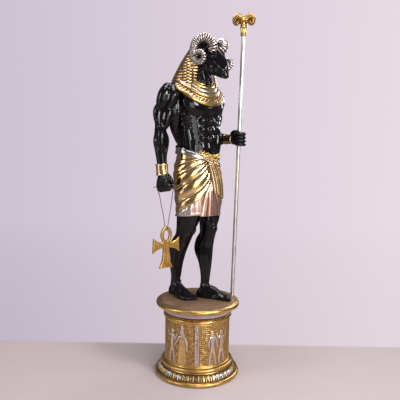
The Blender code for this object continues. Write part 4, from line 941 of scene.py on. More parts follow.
class Clay:
    """A block of modelling clay on a grid, in the units of what is modelled. Forms are pressed
    onto it or cut from it with a soft blend."""

    def __init__(self, low, high, pitch):
        self.pitch = pitch
        self.low = np.array(low, dtype=np.float64)
        count = np.ceil((np.array(high) - self.low) / pitch).astype(int) + 1
        self.axes = [self.low[i] + pitch * np.arange(count[i]) for i in range(3)]
        self.field = np.full(count, 9.0, dtype=np.float32)

    def window(self, low, high, room):
        cut = []
        for axis, a, b in zip(self.axes, low, high):
            cut.append(slice(int(np.searchsorted(axis, a - room)), int(np.searchsorted(axis, b + room))))
        return tuple(cut), np.meshgrid(*(axis[c].astype(np.float32) for axis, c in zip(self.axes, cut)),
                                       indexing="ij", sparse=True)

    def press(self, cut, shape, soft, carve=False):
        old = self.field[cut]
        if not old.size:
            return
        if carve:
            h = np.clip(0.5 - 0.5 * (shape + old) / soft, 0, 1)
            self.field[cut] = old * (1 - h) - shape * h + soft * h * (1 - h)
        else:
            h = np.clip(0.5 + 0.5 * (old - shape) / soft, 0, 1)
            self.field[cut] = old * (1 - h) + shape * h - soft * h * (1 - h)

    def ball(self, place, radii, soft=1.0, turn=0.0, tilt=0.0, roll=0.0, carve=False):
        r = np.array(radii, dtype=np.float64)
        big = float(r.max()) + soft
        cut, (x, y, z) = self.window(np.array(place) - big, np.array(place) + big, 0.6)
        m = (Matrix.Rotation(math.radians(turn), 3, "Z") @ Matrix.Rotation(math.radians(tilt), 3, "X")
             @ Matrix.Rotation(math.radians(roll), 3, "Y"))
        m = np.array(m)
        p = [x - place[0], y - place[1], z - place[2]]
        local = [p[0] * m[0, i] + p[1] * m[1, i] + p[2] * m[2, i] for i in range(3)]
        k0 = np.sqrt(sum((local[i] / r[i]) ** 2 for i in range(3)))
        k1 = np.sqrt(sum((local[i] / r[i] ** 2) ** 2 for i in range(3)))
        self.press(cut, k0 * (k0 - 1.0) / np.maximum(k1, 1e-6), soft, carve)

    def rope(self, points, radii, soft=1.0, carve=False, flat=(1.0, 1.0, 1.0)):
        """A round form along a smooth route, its radius changing from point to point."""
        pts = np.array(points, dtype=np.float64)
        rad = np.array(radii, dtype=np.float64)
        if len(pts) > 2:
            t = np.linspace(0, len(pts) - 1, (len(pts) - 1) * 4 + 1)
            i = np.minimum(t.astype(int), len(pts) - 2)
            f = (t - i)[:, None]
            full = np.column_stack([pts, rad])
            q = np.concatenate([2 * full[:1] - full[1:2], full, 2 * full[-1:] - full[-2:-1]])
            a, b, c, d = q[i], q[i + 1], q[i + 2], q[i + 3]
            full = 0.5 * (2 * b + (c - a) * f + (2 * a - 5 * b + 4 * c - d) * f * f
                          + (3 * b - a - 3 * c + d) * f * f * f)
            pts, rad = full[:, :3], full[:, 3]
        low = (pts - rad[:, None]).min(axis=0) - soft
        high = (pts + rad[:, None]).max(axis=0) + soft
        cut, (x, y, z) = self.window(low, high, 0.5)
        s = np.array(flat)
        best = None
        for p, q, r0, r1 in zip(pts[:-1], pts[1:], rad[:-1], rad[1:]):
            d = (q - p) / s
            px, py, pz = (x - p[0]) / s[0], (y - p[1]) / s[1], (z - p[2]) / s[2]
            h = np.clip((px * d[0] + py * d[1] + pz * d[2]) / max(float(d @ d), 1e-9), 0, 1)
            dist = np.sqrt((px - h * d[0]) ** 2 + (py - h * d[1]) ** 2 + (pz - h * d[2]) ** 2)
            dist -= r0 + (r1 - r0) * h
            best = dist if best is None else np.minimum(best, dist)
        self.press(cut, best * float(s.min()), soft, carve)

    def level_skin(self, stations, angle=0.0, soft=1.0, power=2.0, shrink=0.0, axis=2):
        """A form of ovals square to one axis. Stations are x, y, z, half width, half depth."""
        st = np.array(sorted(stations, key=lambda r: r[axis]), dtype=np.float64)
        others = [i for i in range(3) if i != axis]
        low, high = st[:, :3].min(axis=0), st[:, :3].max(axis=0)
        for i in others:
            low[i] -= st[:, 3:].max()
            high[i] += st[:, 3:].max()
        cut, grid = self.window(low, high, 0.8)
        run = grid[axis].ravel()
        fine = np.linspace(st[0, axis], st[-1, axis], 241)
        values = np.stack([np.interp(fine, st[:, axis], st[:, i]) for i in (*others, 3, 4)], axis=-1)
        wide = max(3, int(1.7 / (fine[1] - fine[0] + 1e-9)))
        values = bell_eased(values, wide)
        shape = [1, 1, 1]
        shape[axis] = -1
        u0, v0, a, b = (np.interp(run, fine, values[:, i]).astype(np.float32).reshape(shape)
                        for i in range(4))
        a, b = a - shrink, b - shrink
        px, py = grid[others[0]] - u0, grid[others[1]] - v0
        c, s = math.cos(math.radians(angle)), math.sin(math.radians(angle))
        pu, pv = px * c + py * s, -px * s + py * c
        rho = np.maximum((np.abs(pu / a) ** power + np.abs(pv / b) ** power) ** (1 / power), 0.02)
        dist = np.hypot(pu, pv) * (1 - 1 / rho)
        ends = np.maximum(st[0, axis] - grid[axis], grid[axis] - st[-1, axis])
        self.press(cut, np.maximum(dist, ends), soft)

    def cast(self):
        """Points and outward quads of the clay's skin, in the same units."""
        f = self.field
        f[0], f[-1], f[:, 0], f[:, -1], f[:, :, 0], f[:, :, -1] = (1.0,) * 6
        solid = f < 0
        cells = np.zeros(np.array(f.shape) - 1, dtype=np.uint8)
        for i in (0, 1):
            for j in (0, 1):
                for k in (0, 1):
                    cells += solid[i:f.shape[0] - 1 + i, j:f.shape[1] - 1 + j, k:f.shape[2] - 1 + k]
        on = (cells > 0) & (cells < 8)
        where = np.argwhere(on)
        number = np.full(cells.shape, -1, dtype=np.int64)
        number[on] = np.arange(len(where))
        corner = np.array([(i, j, k) for i in (0, 1) for j in (0, 1) for k in (0, 1)])
        value = np.stack([f[tuple((where + c).T)] for c in corner], axis=-1).astype(np.float64)
        total = np.zeros((len(where), 3))
        hits = np.zeros(len(where))
        for a in range(8):
            for b in range(a + 1, 8):
                if np.abs(corner[a] - corner[b]).sum() != 1:
                    continue
                crossing = (value[:, a] < 0) != (value[:, b] < 0)
                t = value[:, a] / np.where(crossing, value[:, a] - value[:, b], 1.0)
                total += np.where(crossing[:, None], corner[a] + t[:, None] * (corner[b] - corner[a]), 0.0)
                hits += crossing
        place = where + total / hits[:, None]
        quads = []
        for axis in range(3):
            u, v = (axis + 1) % 3, (axis + 2) % 3
            first = np.moveaxis(solid, axis, 0)
            change = np.moveaxis(first[1:] != first[:-1], 0, axis)
            at = np.argwhere(change)
            within = (at[:, (u, v)] > 0) & (at[:, (u, v)] < np.array((f.shape[u], f.shape[v])) - 1)
            at = at[within.all(axis=1)]
            inside = solid[tuple(at.T)]
            du, dv = np.eye(3, dtype=int)[u], np.eye(3, dtype=int)[v]
            ring = np.stack([number[tuple((at - du - dv).T)], number[tuple((at - dv).T)],
                             number[tuple(at.T)], number[tuple((at - du).T)]], axis=-1)
            ring[~inside] = ring[~inside][:, ::-1]
            quads.append(ring)
        quads = np.concatenate(quads)
        quads = quads[(quads >= 0).all(axis=1)]
        for _ in range(2):
            base = np.clip(np.floor(place).astype(int), 1, np.array(f.shape) - 3)
            frac = place - base
            w = [np.stack([1 - frac[:, i], frac[:, i]]) for i in range(3)]
            here = np.zeros(len(place))
            slope = np.zeros((len(place), 3))
            for i in (0, 1):
                for j in (0, 1):
                    for k in (0, 1):
                        spot = base + (i, j, k)
                        weight = w[0][i] * w[1][j] * w[2][k]
                        here += weight * f[tuple(spot.T)]
                        for n, step in enumerate(np.eye(3, dtype=int)):
                            slope[:, n] += weight * 0.5 * (f[tuple((spot + step).T)]
                                                           - f[tuple((spot - step).T)])
            move = here[:, None] * slope / np.maximum((slope ** 2).sum(axis=1), 0.05)[:, None]
            place -= np.clip(move, -0.4, 0.4)
        return self.low + place * self.pitch, quads


def eased(places, quads, rounds=2):
    """Evens the points out a little without shrinking the form."""
    ring = np.concatenate([quads[:, [0, 1]], quads[:, [1, 2]], quads[:, [2, 3]], quads[:, [3, 0]]])
    a, b = ring.T
    near = np.maximum(np.bincount(a, minlength=len(places)) + np.bincount(b, minlength=len(places)), 1)
    for _ in range(rounds):
        for strength in (0.5, -0.52):
            mean = np.stack([(np.bincount(a, places[b, i], len(places))
                              + np.bincount(b, places[a, i], len(places)))
                             / near for i in range(3)], axis=-1)
            places = places + strength * (mean - places)
    return places


def on_figure(places):
    return np.asarray(places) * U + (0, 0, SOLE)


def lacquered(name, clay, rounds=2, move=on_figure, flip=False):
    """The clay's skin as a black lacquered piece."""
    places, quads = clay.cast()
    places = eased(places, quads, rounds)
    quads = quads[:, ::-1] if flip else quads
    return new_piece(name, move(places), [quads], black_gloss, True)


black_gloss, net, shader = coat("black gloss lacquer", BLACK, 0.0, 0.16, Coat_Weight=0.8,
                                Coat_Roughness=0.05, Coat_IOR=1.41, IOR=1.12)
where = net("ShaderNodeTexCoord").outputs["Object"]
cloud = net("ShaderNodeTexNoise", {}, {"Vector": where, "Scale": 7.0, "Detail": 4.0, "Roughness": 0.55})
dust = net("ShaderNodeTexNoise", {}, {"Vector": where, "Scale": 160.0, "Detail": 4.0, "Roughness": 0.7})
thin = net("ShaderNodeMapRange", {"interpolation_type": "SMOOTHSTEP"},
           {0: cloud.outputs["Fac"], 1: 0.4, 2: 0.75, 3: 0.0, 4: 1.0})
deep = net("ShaderNodeMix", {"data_type": "RGBA"},
           {0: thin.outputs[0], 6: (0.0045, 0.0040, 0.0055, 1), 7: (0.0095, 0.0080, 0.0095, 1)})
plug(black_gloss, deep.outputs[2], shader.inputs["Base Color"])
haze = sum_of(net, "MULTIPLY_ADD", dust.outputs["Fac"], 0.10, 0.12)
plug(black_gloss, haze, shader.inputs["Roughness"])
peel = net("ShaderNodeTexNoise", {}, {"Vector": where, "Scale": 55.0, "Detail": 2.0})
skin_bump = net("ShaderNodeBump", {}, {"Height": peel.outputs["Fac"], "Strength": 0.10, "Distance": 0.0012})
plug(black_gloss, skin_bump.outputs[0], shader.inputs["Normal"])


def leg_spot(leg, angle, out, u, v, z):
    """A place on a leg: out from its middle line by u, forward by v, at height z."""
    st = np.array(leg)
    x, y = np.interp(z, st[:, 2], st[:, 0]), np.interp(z, st[:, 2], st[:, 1])
    side, back = turned(angle)
    return (x + side.x * u * out - back.x * v, y + side.y * u * out - back.y * v, z)


def model_leg(name, leg, angle, out, heel, foot_angle):
    st = np.array(leg)
    clay = Clay((st[:, 0].min() - 11, st[:, 1].min() - 27, -1.2),
                (st[:, 0].max() + 12, st[:, 1].max() + 13, 68), LEG_PITCH)
    clay.level_skin([s for s in leg if s[2] < 80], angle, 1.0, 2.0, 0.55)
    for points, radii in LEG_MUSCLES:
        clay.rope([leg_spot(leg, angle, out, *p) for p in points], radii, 0.9)
    clay.ball(leg_spot(leg, angle, out, 0.0, 5.5, 48.2), (2.5, 1.6, 2.9), 0.9, angle)
    clay.ball(leg_spot(leg, angle, out, -2.9, 0.6, 8.9), (1.3, 1.6, 1.8), 0.9)
    clay.ball(leg_spot(leg, angle, out, 2.9, -0.4, 7.9), (1.2, 1.6, 1.9), 0.9)
    side, back = turned(foot_angle)
    inner = -out
    reach = Vector((heel[0], heel[1], 0)) - back * 26
    low = (min(heel[0], reach.x) - 7, min(heel[1], reach.y) - 5, -1.0)
    high = (max(heel[0], reach.x) + 7, max(heel[1], reach.y) + 5, 11.0)
    cut, (x, y, z) = clay.window(low, high, 0.5)
    d = -((x - heel[0]) * back.x + (y - heel[1]) * back.y)
    w = (x - heel[0]) * side.x + (y - heel[1]) * side.y
    ft = np.array(FOOT)
    wide = np.interp(d, ft[:, 0], ft[:, 1]).astype(np.float32)
    tall = np.interp(d, ft[:, 0], ft[:, 2]).astype(np.float32)
    lean = np.interp(d, (0, 8, 16, 24), (0.0, 0.5, 0.3, 0.0)) * inner
    pu, pv = w - lean, z - (tall / 2 - 0.4)
    rho = np.maximum((np.abs(pu / wide) ** 2.4 + np.abs(pv / (tall / 2 + 0.4)) ** 2.4) ** (1 / 2.4), 0.02)
    form = np.maximum(np.hypot(pu, pv) * (1 - 1 / rho), np.maximum(-d, d - 22.8))
    clay.press(cut, form, 1.3)

    def spot(d, off, z):
        p = Vector((heel[0], heel[1], 0)) - back * d + side * off * inner
        return (p.x, p.y, z)

    for i, (d, off, w, long, h) in enumerate(TOES):
        base = d - 4.6
        clay.rope([spot(base, off * 0.9, h * 1.25), spot(d - 1.6, off, h * 1.12),
                   spot(d + long * 0.30, off, h * 0.86)],
                  [h * 0.95, h * 0.88, h * 0.84], 0.35)
        if i == 0:
            clay.rope([spot(base, off + 0.5, h * 1.0), spot(d + long * 0.25, off + 0.45, h * 0.8)],
                      [h * 0.8, h * 0.78], 0.5)
        clay.ball(spot(d - 1.4, off, h * 1.85), (h * 0.62, h * 0.7, h * 0.30), 0.4, foot_angle)
        clay.ball(spot(d + long * 0.38, off, h * 1.62), (w * 0.50, h * 0.62, 0.20), 0.12, foot_angle, 14.0)
        clay.rope([spot(9.0, off * 0.25, 8.6), spot(14.0, off * 0.6, 6.2),
                   spot(d - 4.2, off * 0.95, h * 2.1)],
                  [0.45, 0.5, 0.45], 0.8)
    clay.ball(spot(15.5, -4.2, 1.9), (1.2, 3.4, 1.7), 1.2, foot_angle)
    clay.ball(spot(11.5, 4.1, 3.4), (1.5, 4.6, 1.9), 1.0, foot_angle, carve=True)
    cut, (x, y, z) = clay.window((-99, -99, -5), (99, 99, 4), 0)
    clay.field[cut] = np.maximum(clay.field[cut], -z + 0.02)
    ob = lacquered(name, clay)
    settle(ob, "black lacquer")


model_leg("left_leg", LEFT_LEG, -12.0, 1.0, (3.0, 4.0), 24.0)
model_leg("right_leg", RIGHT_LEG, 6.0, -1.0, (-2.9, 23.3), -9.0)

# Torso and arms: one black lacquered cast from the hips to the wrists, strongly muscled. The collar
# hides its neck, the bracelets hide where the hands are joined on.
BODY_PITCH = 0.46
CHEST_TURN = -8.0
TRUNK = [
    (0, 2.0, 86, 15.5, 12.0), (0, 2.1, 94, 15.0, 11.4), (0, 2.2, 99, 14.2, 10.7),
    (0, 2.3, 104, 13.7, 10.3), (0, 2.6, 109, 13.9, 10.4), (0, 3.2, 114, 14.7, 10.8),
    (0, 4.2, 120, 16.0, 11.4), (0, 4.4, 126, 17.2, 11.6), (0, 4.6, 131, 17.6, 11.2),
    (0, 5.2, 136, 16.6, 9.6), (0, 5.6, 140, 13.4, 8.2), (0, 5.5, 143, 10.0, 7.4),
]
chest_side, chest_back = turned(CHEST_TURN)


def on_chest(u, v, z):
    """A place out to the figure's left by u and forward by v from the chest's middle."""
    p = Vector((0, 4.0, 0)) + chest_side * u - chest_back * v
    return (p.x, p.y, z)


clay = Clay((-32.5, -17.5, 85.0), (29.0, 24.5, 147.0), BODY_PITCH)
clay.level_skin(TRUNK, CHEST_TURN, 1.0, 2.25)
for m in (-1, 1):
    clay.ball(on_chest(7.6 * m, 8.9, 127.6), (8.2, 3.5, 5.9), 0.9, CHEST_TURN + 12 * m, 6.0, -10.0 * m)
    clay.ball(on_chest(11.2 * m, 6.9, 130.4), (5.8, 3.7, 5.4), 1.2, CHEST_TURN + 24 * m, 0.0, -28.0 * m)
    for row, (z, w, v) in enumerate(((118.9, 3.3, 10.9), (113.4, 3.1, 10.7), (107.9, 2.9, 10.8))):
        clay.ball(on_chest(3.45 * m, v, z), (w, 2.3, 2.65), 0.55, CHEST_TURN + 10 * m)
    clay.ball(on_chest(2.9 * m, 10.6, 101.5), (3.3, 2.2, 4.6), 0.8, CHEST_TURN + 10 * m, 0.0, 8.0 * m)
    for k in range(4):
        z = 122.2 - 3.1 * k
        clay.rope([on_chest((16.3 - 0.5 * k) * m, 1.4, z + 1.6), on_chest((14.9 - 0.5 * k) * m, 5.4, z),
                   on_chest((12.2 - 0.4 * k) * m, 8.5, z - 1.5)], [1.2, 1.65, 0.9], 0.45)
    clay.rope([on_chest(12.6 * m, 6.2, 112.5), on_chest(11.6 * m, 6.8, 106), on_chest(10.6 * m, 7.0, 99)],
              [3.2, 3.7, 3.3], 0.8)
    clay.rope([on_chest(11.4 * m, 6.0, 101.6), on_chest(12.2 * m, 1.0, 102.2),
               on_chest(11.2 * m, -4.2, 102.0)],
              [2.2, 2.6, 2.2], 1.0)
    clay.rope([on_chest(17.6 * m, -0.5, 131), on_chest(17.4 * m, -1.2, 124), on_chest(15.0 * m, -3.4, 115),
               on_chest(11.2 * m, -5.2, 106)], [3.2, 4.2, 3.5, 1.6], 0.9)
    clay.rope([on_chest(3.2 * m, -10.3, 134), on_chest(3.0 * m, -9.9, 122), on_chest(2.8 * m, -7.0, 110),
               on_chest(3.2 * m, -6.6, 98)], [2.0, 2.4, 2.7, 2.6], 0.9)
    clay.ball(on_chest(9.6 * m, -9.6, 129.5), (5.2, 2.6, 5.4), 0.9, CHEST_TURN, 0.0, 18.0 * m)
    clay.ball(on_chest(12.0 * m, -8.6, 123.6), (4.6, 2.6, 3.6), 0.8, CHEST_TURN, 0.0, -22.0 * m)
    clay.rope([on_chest(2.0 * m, -10.6, 138), on_chest(9.0 * m, -7.6, 138.5),
               on_chest(16.0 * m, -2.0, 138)],
              [2.4, 2.8, 2.6], 1.2)
clay.rope([on_chest(0, 12.6, 123.0), on_chest(0, 12.7, 114.0), on_chest(0, 12.9, 106.5)], [0.4, 0.55, 0.5],
          0.7, carve=True)
clay.rope([on_chest(0, -11.6, 134), on_chest(0, -11.2, 122), on_chest(0, -8.4, 110),
           on_chest(0, -8.6, 100)],
          [0.6, 0.9, 1.1, 0.8], 1.2, carve=True)
clay.ball(on_chest(0, 12.6, 104.6), (0.75, 0.9, 0.95), 0.5, carve=True)
clay.rope([(-20.5, 8.6, 137.5), (-12, 7.8, 140.5), (0, 6.6, 142.5), (12, 4.6, 140.5), (20.3, 3.4, 137.5)],
          [4.0, 4.6, 5.2, 4.6, 4.0], 1.6)
clay.rope([(0, 4.4, 138), (0.2, 2.6, 145)], [8.0, 7.2], 1.6)

# right arm hangs down
clay.level_skin([
    (-21.5, 8.4, 138, 4.2, 4.6), (-22.7, 9.2, 132, 4.6, 5.2), (-24.2, 10.6, 125, 3.9, 4.4),
    (-25.1, 11.2, 118, 3.7, 4.0), (-25.6, 11.4, 112.6, 3.6, 3.9), (-25.9, 11.2, 108.5, 3.9, 4.0),
    (-25.9, 10.9, 105, 4.0, 4.1), (-25.9, 10.3, 98, 3.6, 3.8), (-25.7, 9.7, 92.5, 3.1, 3.4),
    (-25.6, 9.2, 87, 2.9, 3.3),
], 0.0, 1.0)
for points, radii, soft in (
    ([(-20.4, 6.0, 138.6), (-21.4, 4.9, 134.0), (-23.2, 6.4, 128.4), (-24.8, 8.6, 123.6)],
     [3.0, 4.1, 3.0, 1.3], 0.6),
    ([(-22.6, 8.6, 139.2), (-25.3, 8.9, 134.6), (-26.3, 9.8, 128.6), (-25.9, 10.4, 123.6)],
     [3.2, 3.9, 3.0, 1.3], 0.6),
    ([(-20.8, 11.8, 138.4), (-21.8, 13.3, 134.0), (-23.9, 13.4, 128.6), (-25.3, 12.0, 124.0)],
     [2.8, 3.8, 2.8, 1.2], 0.6),
    ([(-22.6, 7.6, 129.0), (-23.0, 7.3, 123.5), (-24.2, 7.7, 117.6), (-25.0, 8.8, 112.6)],
     [1.6, 3.5, 3.1, 1.1], 0.55),
    ([(-22.6, 13.4, 131.0), (-23.2, 14.4, 124.5), (-24.2, 14.2, 118.5), (-25.2, 13.6, 112.6)],
     [1.8, 3.1, 2.6, 1.2], 0.55),
    ([(-25.4, 12.6, 129.6), (-26.9, 13.0, 125.2), (-27.2, 12.9, 120.4), (-26.4, 13.2, 114.8)],
     [1.5, 2.6, 2.3, 1.1], 0.5),
    ([(-26.6, 9.6, 120.6), (-27.0, 9.5, 116.0), (-26.6, 9.6, 111.6)], [1.1, 1.9, 1.3], 0.5),
    ([(-26.8, 9.0, 115.6), (-27.9, 8.6, 109.6), (-27.5, 8.2, 103.6), (-26.4, 8.4, 94.5)],
     [1.3, 2.5, 2.4, 1.0], 0.55),
    ([(-26.6, 12.8, 111.2), (-28.0, 12.1, 106.4), (-27.7, 11.3, 100.6), (-26.6, 10.4, 93.5)],
     [1.2, 2.3, 2.1, 1.1], 0.5),
    ([(-24.2, 9.6, 112.0), (-23.6, 9.4, 106.8), (-24.2, 9.0, 100.6), (-25.0, 8.8, 93.0)],
     [1.4, 2.8, 2.4, 1.1], 0.55),
    ([(-24.4, 13.2, 110.4), (-24.4, 13.2, 105.4), (-25.2, 11.8, 97.0)], [1.4, 2.2, 1.3], 0.6),
    ([(-25.8, 14.6, 112.6), (-25.7, 14.5, 110.6)], [1.3, 1.2], 0.7),
):
    clay.rope(points, radii, soft)

# left arm: the upper arm slopes back, the forearm comes forward to the staff
clay.level_skin([
    (21.2, 3.0, 138, 4.2, 4.6), (21.9, 4.4, 132, 4.6, 5.2), (22.3, 7.8, 125, 3.9, 4.5),
    (22.5, 11.2, 117, 3.7, 4.2), (22.5, 14.0, 110.5, 3.6, 3.9), (22.5, 15.0, 106.5, 3.0, 3.2),
], 0.0, 1.0)
clay.level_skin([
    (22.5, 16.4, 108.0, 3.0, 3.2), (22.5, 13.0, 108.2, 3.8, 4.0), (22.4, 8.0, 108.4, 3.9, 4.0),
    (22.2, 3.0, 108.5, 3.6, 3.7), (21.9, -2.0, 108.4, 3.1, 3.2), (21.6, -7.5, 108.2, 2.7, 2.9),
], 0.0, 1.0, axis=1)
for points, radii, soft in (
    ([(19.2, 1.8, 138.6), (19.8, 1.2, 134.2), (21.4, 2.2, 128.8), (22.6, 4.4, 123.8)], [2.6, 3.2, 2.6, 1.3],
     0.6),
    ([(21.2, 3.6, 139.0), (23.2, 4.6, 134.6), (24.4, 5.8, 128.6), (24.0, 7.2, 123.4)], [3.0, 3.3, 2.8, 1.3],
     0.6),
    ([(20.6, 6.6, 138.4), (21.4, 8.3, 134.0), (22.6, 9.6, 128.6), (23.0, 9.8, 123.4)], [2.8, 3.7, 2.8, 1.2],
     0.6),
    ([(21.4, 2.4, 129.0), (21.8, 4.2, 123.0), (22.2, 6.8, 116.8), (22.4, 10.0, 111.8)],
     [1.6, 3.4, 3.2, 1.4], 0.55),
    ([(21.6, 8.8, 130.6), (21.8, 12.0, 123.6), (22.2, 15.0, 116.4), (22.4, 16.6, 110.6)],
     [1.8, 3.0, 2.6, 1.3], 0.55),
    ([(23.8, 8.6, 129.0), (25.0, 11.0, 123.4), (25.0, 13.6, 117.2), (23.8, 15.6, 111.8)],
     [1.4, 2.5, 2.2, 1.1], 0.5),
    ([(24.4, 7.8, 119.6), (24.8, 9.6, 115.2), (24.2, 10.8, 111.4)], [1.1, 1.9, 1.3], 0.5),
    ([(24.0, 10.8, 113.6), (24.4, 6.8, 111.4), (23.6, 1.2, 110.4), (22.4, -5.4, 109.6)],
     [1.3, 2.5, 2.1, 1.0], 0.55),
    ([(24.2, 13.0, 109.0), (25.0, 8.4, 107.6), (24.4, 2.4, 107.4), (22.8, -4.6, 107.6)],
     [1.4, 2.2, 1.9, 1.0], 0.5),
    ([(20.6, 11.6, 108.0), (19.8, 7.2, 107.6), (20.2, 1.2, 107.4), (21.0, -5.0, 107.6)],
     [1.6, 2.6, 2.2, 1.1], 0.55),
    ([(22.4, 13.6, 105.8), (22.4, 7.6, 105.0), (22.0, 0.0, 105.8)], [1.5, 1.9, 1.2], 0.6),
    ([(22.4, 18.0, 109.0), (22.4, 17.4, 107.0)], [1.4, 1.3], 0.7),
):
    clay.rope(points, radii, soft)
torso = lacquered("torso_and_arms", clay)
settle(torso, "black lacquer", "figure")

# Hands: cast on after the arms, black lacquered. The right fist hangs and holds the cord, the left
# one grips the rod; both are joined inside the bracelets.
HAND_PITCH = 0.26
clay = Clay((-30.5, 1.0, 70.0), (-18.5, 15.5, 90.5), HAND_PITCH)
clay.level_skin([(-25.7, 9.5, 91, 2.8, 3.2), (-25.6, 9.2, 87, 2.8, 3.3), (-25.5, 8.7, 84.0, 2.7, 3.8),
                 (-25.5, 8.3, 82, 2.5, 4.3)], 0.0, 0.6)
clay.ball((-25.4, 8.0, 80.6), (2.3, 4.9, 4.6), 0.9)
clay.ball((-24.9, 7.7, 77.4), (2.0, 4.9, 2.9), 0.8)
for k, y in enumerate((11.3, 9.0, 6.7, 4.4)):
    d = 0.35 * k
    clay.rope([(-26.2, y - 0.2, 83.4), (-26.9, y, 80.6), (-27.1, y, 79.0 + d * 0.5)], [0.9, 1.12, 1.05],
              0.45)
    clay.rope([(-27.1, y, 79.2 + d * 0.5), (-27.25, y, 77.0 + d), (-26.5, y, 74.9 + d)], [1.10, 1.16, 1.12],
              0.28)
    clay.rope([(-26.3, y, 74.8 + d), (-25.0, y, 73.9 + d), (-23.6, y, 74.2 + d)], [1.12, 1.14, 1.05], 0.28)
    clay.rope([(-23.4, y, 74.3 + d), (-22.6, y, 75.6 + d), (-22.4, y, 77.4 + d)], [1.06, 1.02, 0.92], 0.28)
    clay.ball((-26.95, y, 80.3 + d * 0.3), (0.95, 1.0, 1.0), 0.35)
clay.rope([(-25.0, 5.6, 84.0), (-24.0, 3.6, 81.8), (-23.0, 2.7, 79.8)], [1.7, 1.55, 1.25], 0.7)
clay.rope([(-23.0, 2.7, 79.8), (-22.2, 2.9, 78.0), (-21.8, 3.6, 76.4)], [1.22, 1.16, 0.95], 0.3)
clay.ball((-21.7, 2.6, 77.2), (0.45, 0.42, 0.75), 0.15, 30.0)
for y in (10.1, 7.8, 5.5):
    clay.rope([(-26.5, y, 84.5), (-27.1, y, 82.4)], [0.28, 0.34], 0.7)
clay.rope([BORE_BACK, BORE_FRONT], [0.62, 0.62], 0.12, carve=True)
right_hand = lacquered("right_hand", clay, 1)
settle(right_hand, "black lacquer")

clay = Clay((15.5, -21.8, 102.0), (27.0, -5.0, 116.0), HAND_PITCH)
clay.level_skin([(21.6, -6.0, 108.2, 2.6, 2.8), (21.4, -9.0, 108.2, 2.5, 2.9),
                 (21.6, -11.5, 108.2, 2.6, 3.6), (22.2, -13.5, 108.2, 2.2, 4.0)], 0.0, 0.6, axis=1)
clay.ball((22.7, -13.4, 108.3), (2.1, 4.0, 4.3), 0.9, -12.0)
clay.ball((21.0, -15.6, 108.2), (2.3, 2.5, 4.2), 0.8)
for k, z in enumerate((111.7, 109.4, 107.1, 104.8)):
    clay.rope([(23.4, -11.6, z), (24.2, -13.6, z), (24.4, -15.2, z)], [0.9, 1.1, 1.1], 0.45)
    clay.rope([(24.4, -15.2, z), (24.2, -17.0, z), (23.2, -18.6, z)], [1.12, 1.15, 1.12], 0.28)
    clay.rope([(23.0, -18.7, z), (21.4, -19.5, z), (19.9, -19.2, z)], [1.12, 1.14, 1.05], 0.28)
    clay.rope([(19.7, -19.1, z), (18.4, -17.9, z), (18.1, -16.2, z)], [1.06, 1.02, 0.92], 0.28)
    clay.ball((24.55, -15.0, z), (0.95, 0.95, 0.95), 0.35)
clay.rope([(21.2, -9.6, 110.6), (19.6, -11.4, 112.0), (18.6, -13.0, 112.9)], [1.6, 1.5, 1.2], 0.7)
clay.rope([(18.6, -13.0, 112.9), (18.0, -15.2, 113.1), (18.5, -17.2, 113.0)], [1.2, 1.14, 0.92], 0.3)
clay.ball((18.2, -16.6, 113.8), (0.55, 0.8, 0.30), 0.15)
rod_foot = Vector((19.6, -14.2, 0.0))
rod_run = Vector((2.15, -2.55, 175.0)).normalized()
clay.rope([tuple(rod_foot + rod_run * 98), tuple(rod_foot + rod_run * 120)], [1.27, 1.27], 0.12, carve=True)
left_hand = lacquered("left_hand", clay, 1)
settle(left_hand, "black lacquer")

# Head and neck: a black lacquered ram's head with heavy brows, a curved nose and carved curls of wool
# down the neck. The neck goes down inside the collar.
HEAD_PITCH = 0.30
HEAD_TURN = 6.0
HEAD = [
    (-1.0, 164.0, -1.0, 157.0, 3.5), (3.0, 168.6, 1.0, 154.0, 6.2), (9.0, 170.0, 5.5, 150.5, 6.6),
    (14.0, 167.4, 9.0, 149.2, 6.4), (16.4, 164.2, 11.8, 148.8, 5.7), (18.4, 161.2, 14.2, 148.0, 4.8),
    (20.6, 157.8, 16.4, 147.0, 4.0), (22.2, 154.5, 18.2, 146.2, 3.5), (23.1, 151.2, 19.8, 145.8, 3.2),
    (23.2, 149.0, 21.4, 146.2, 2.5), (22.7, 148.0, 22.0, 146.8, 1.5),
]
head_side, head_back = turned(HEAD_TURN)


def on_head(places):
    """Head places (ahead, out to the right, up) as places on the object in metres."""
    p = np.asarray(places, dtype=np.float64)
    x = -head_back.x * p[..., 0] - head_side.x * p[..., 1]
    y = 4.0 - head_back.y * p[..., 0] - head_side.y * p[..., 1]
    return np.stack([x * U, y * U, SOLE + p[..., 2] * U], axis=-1)


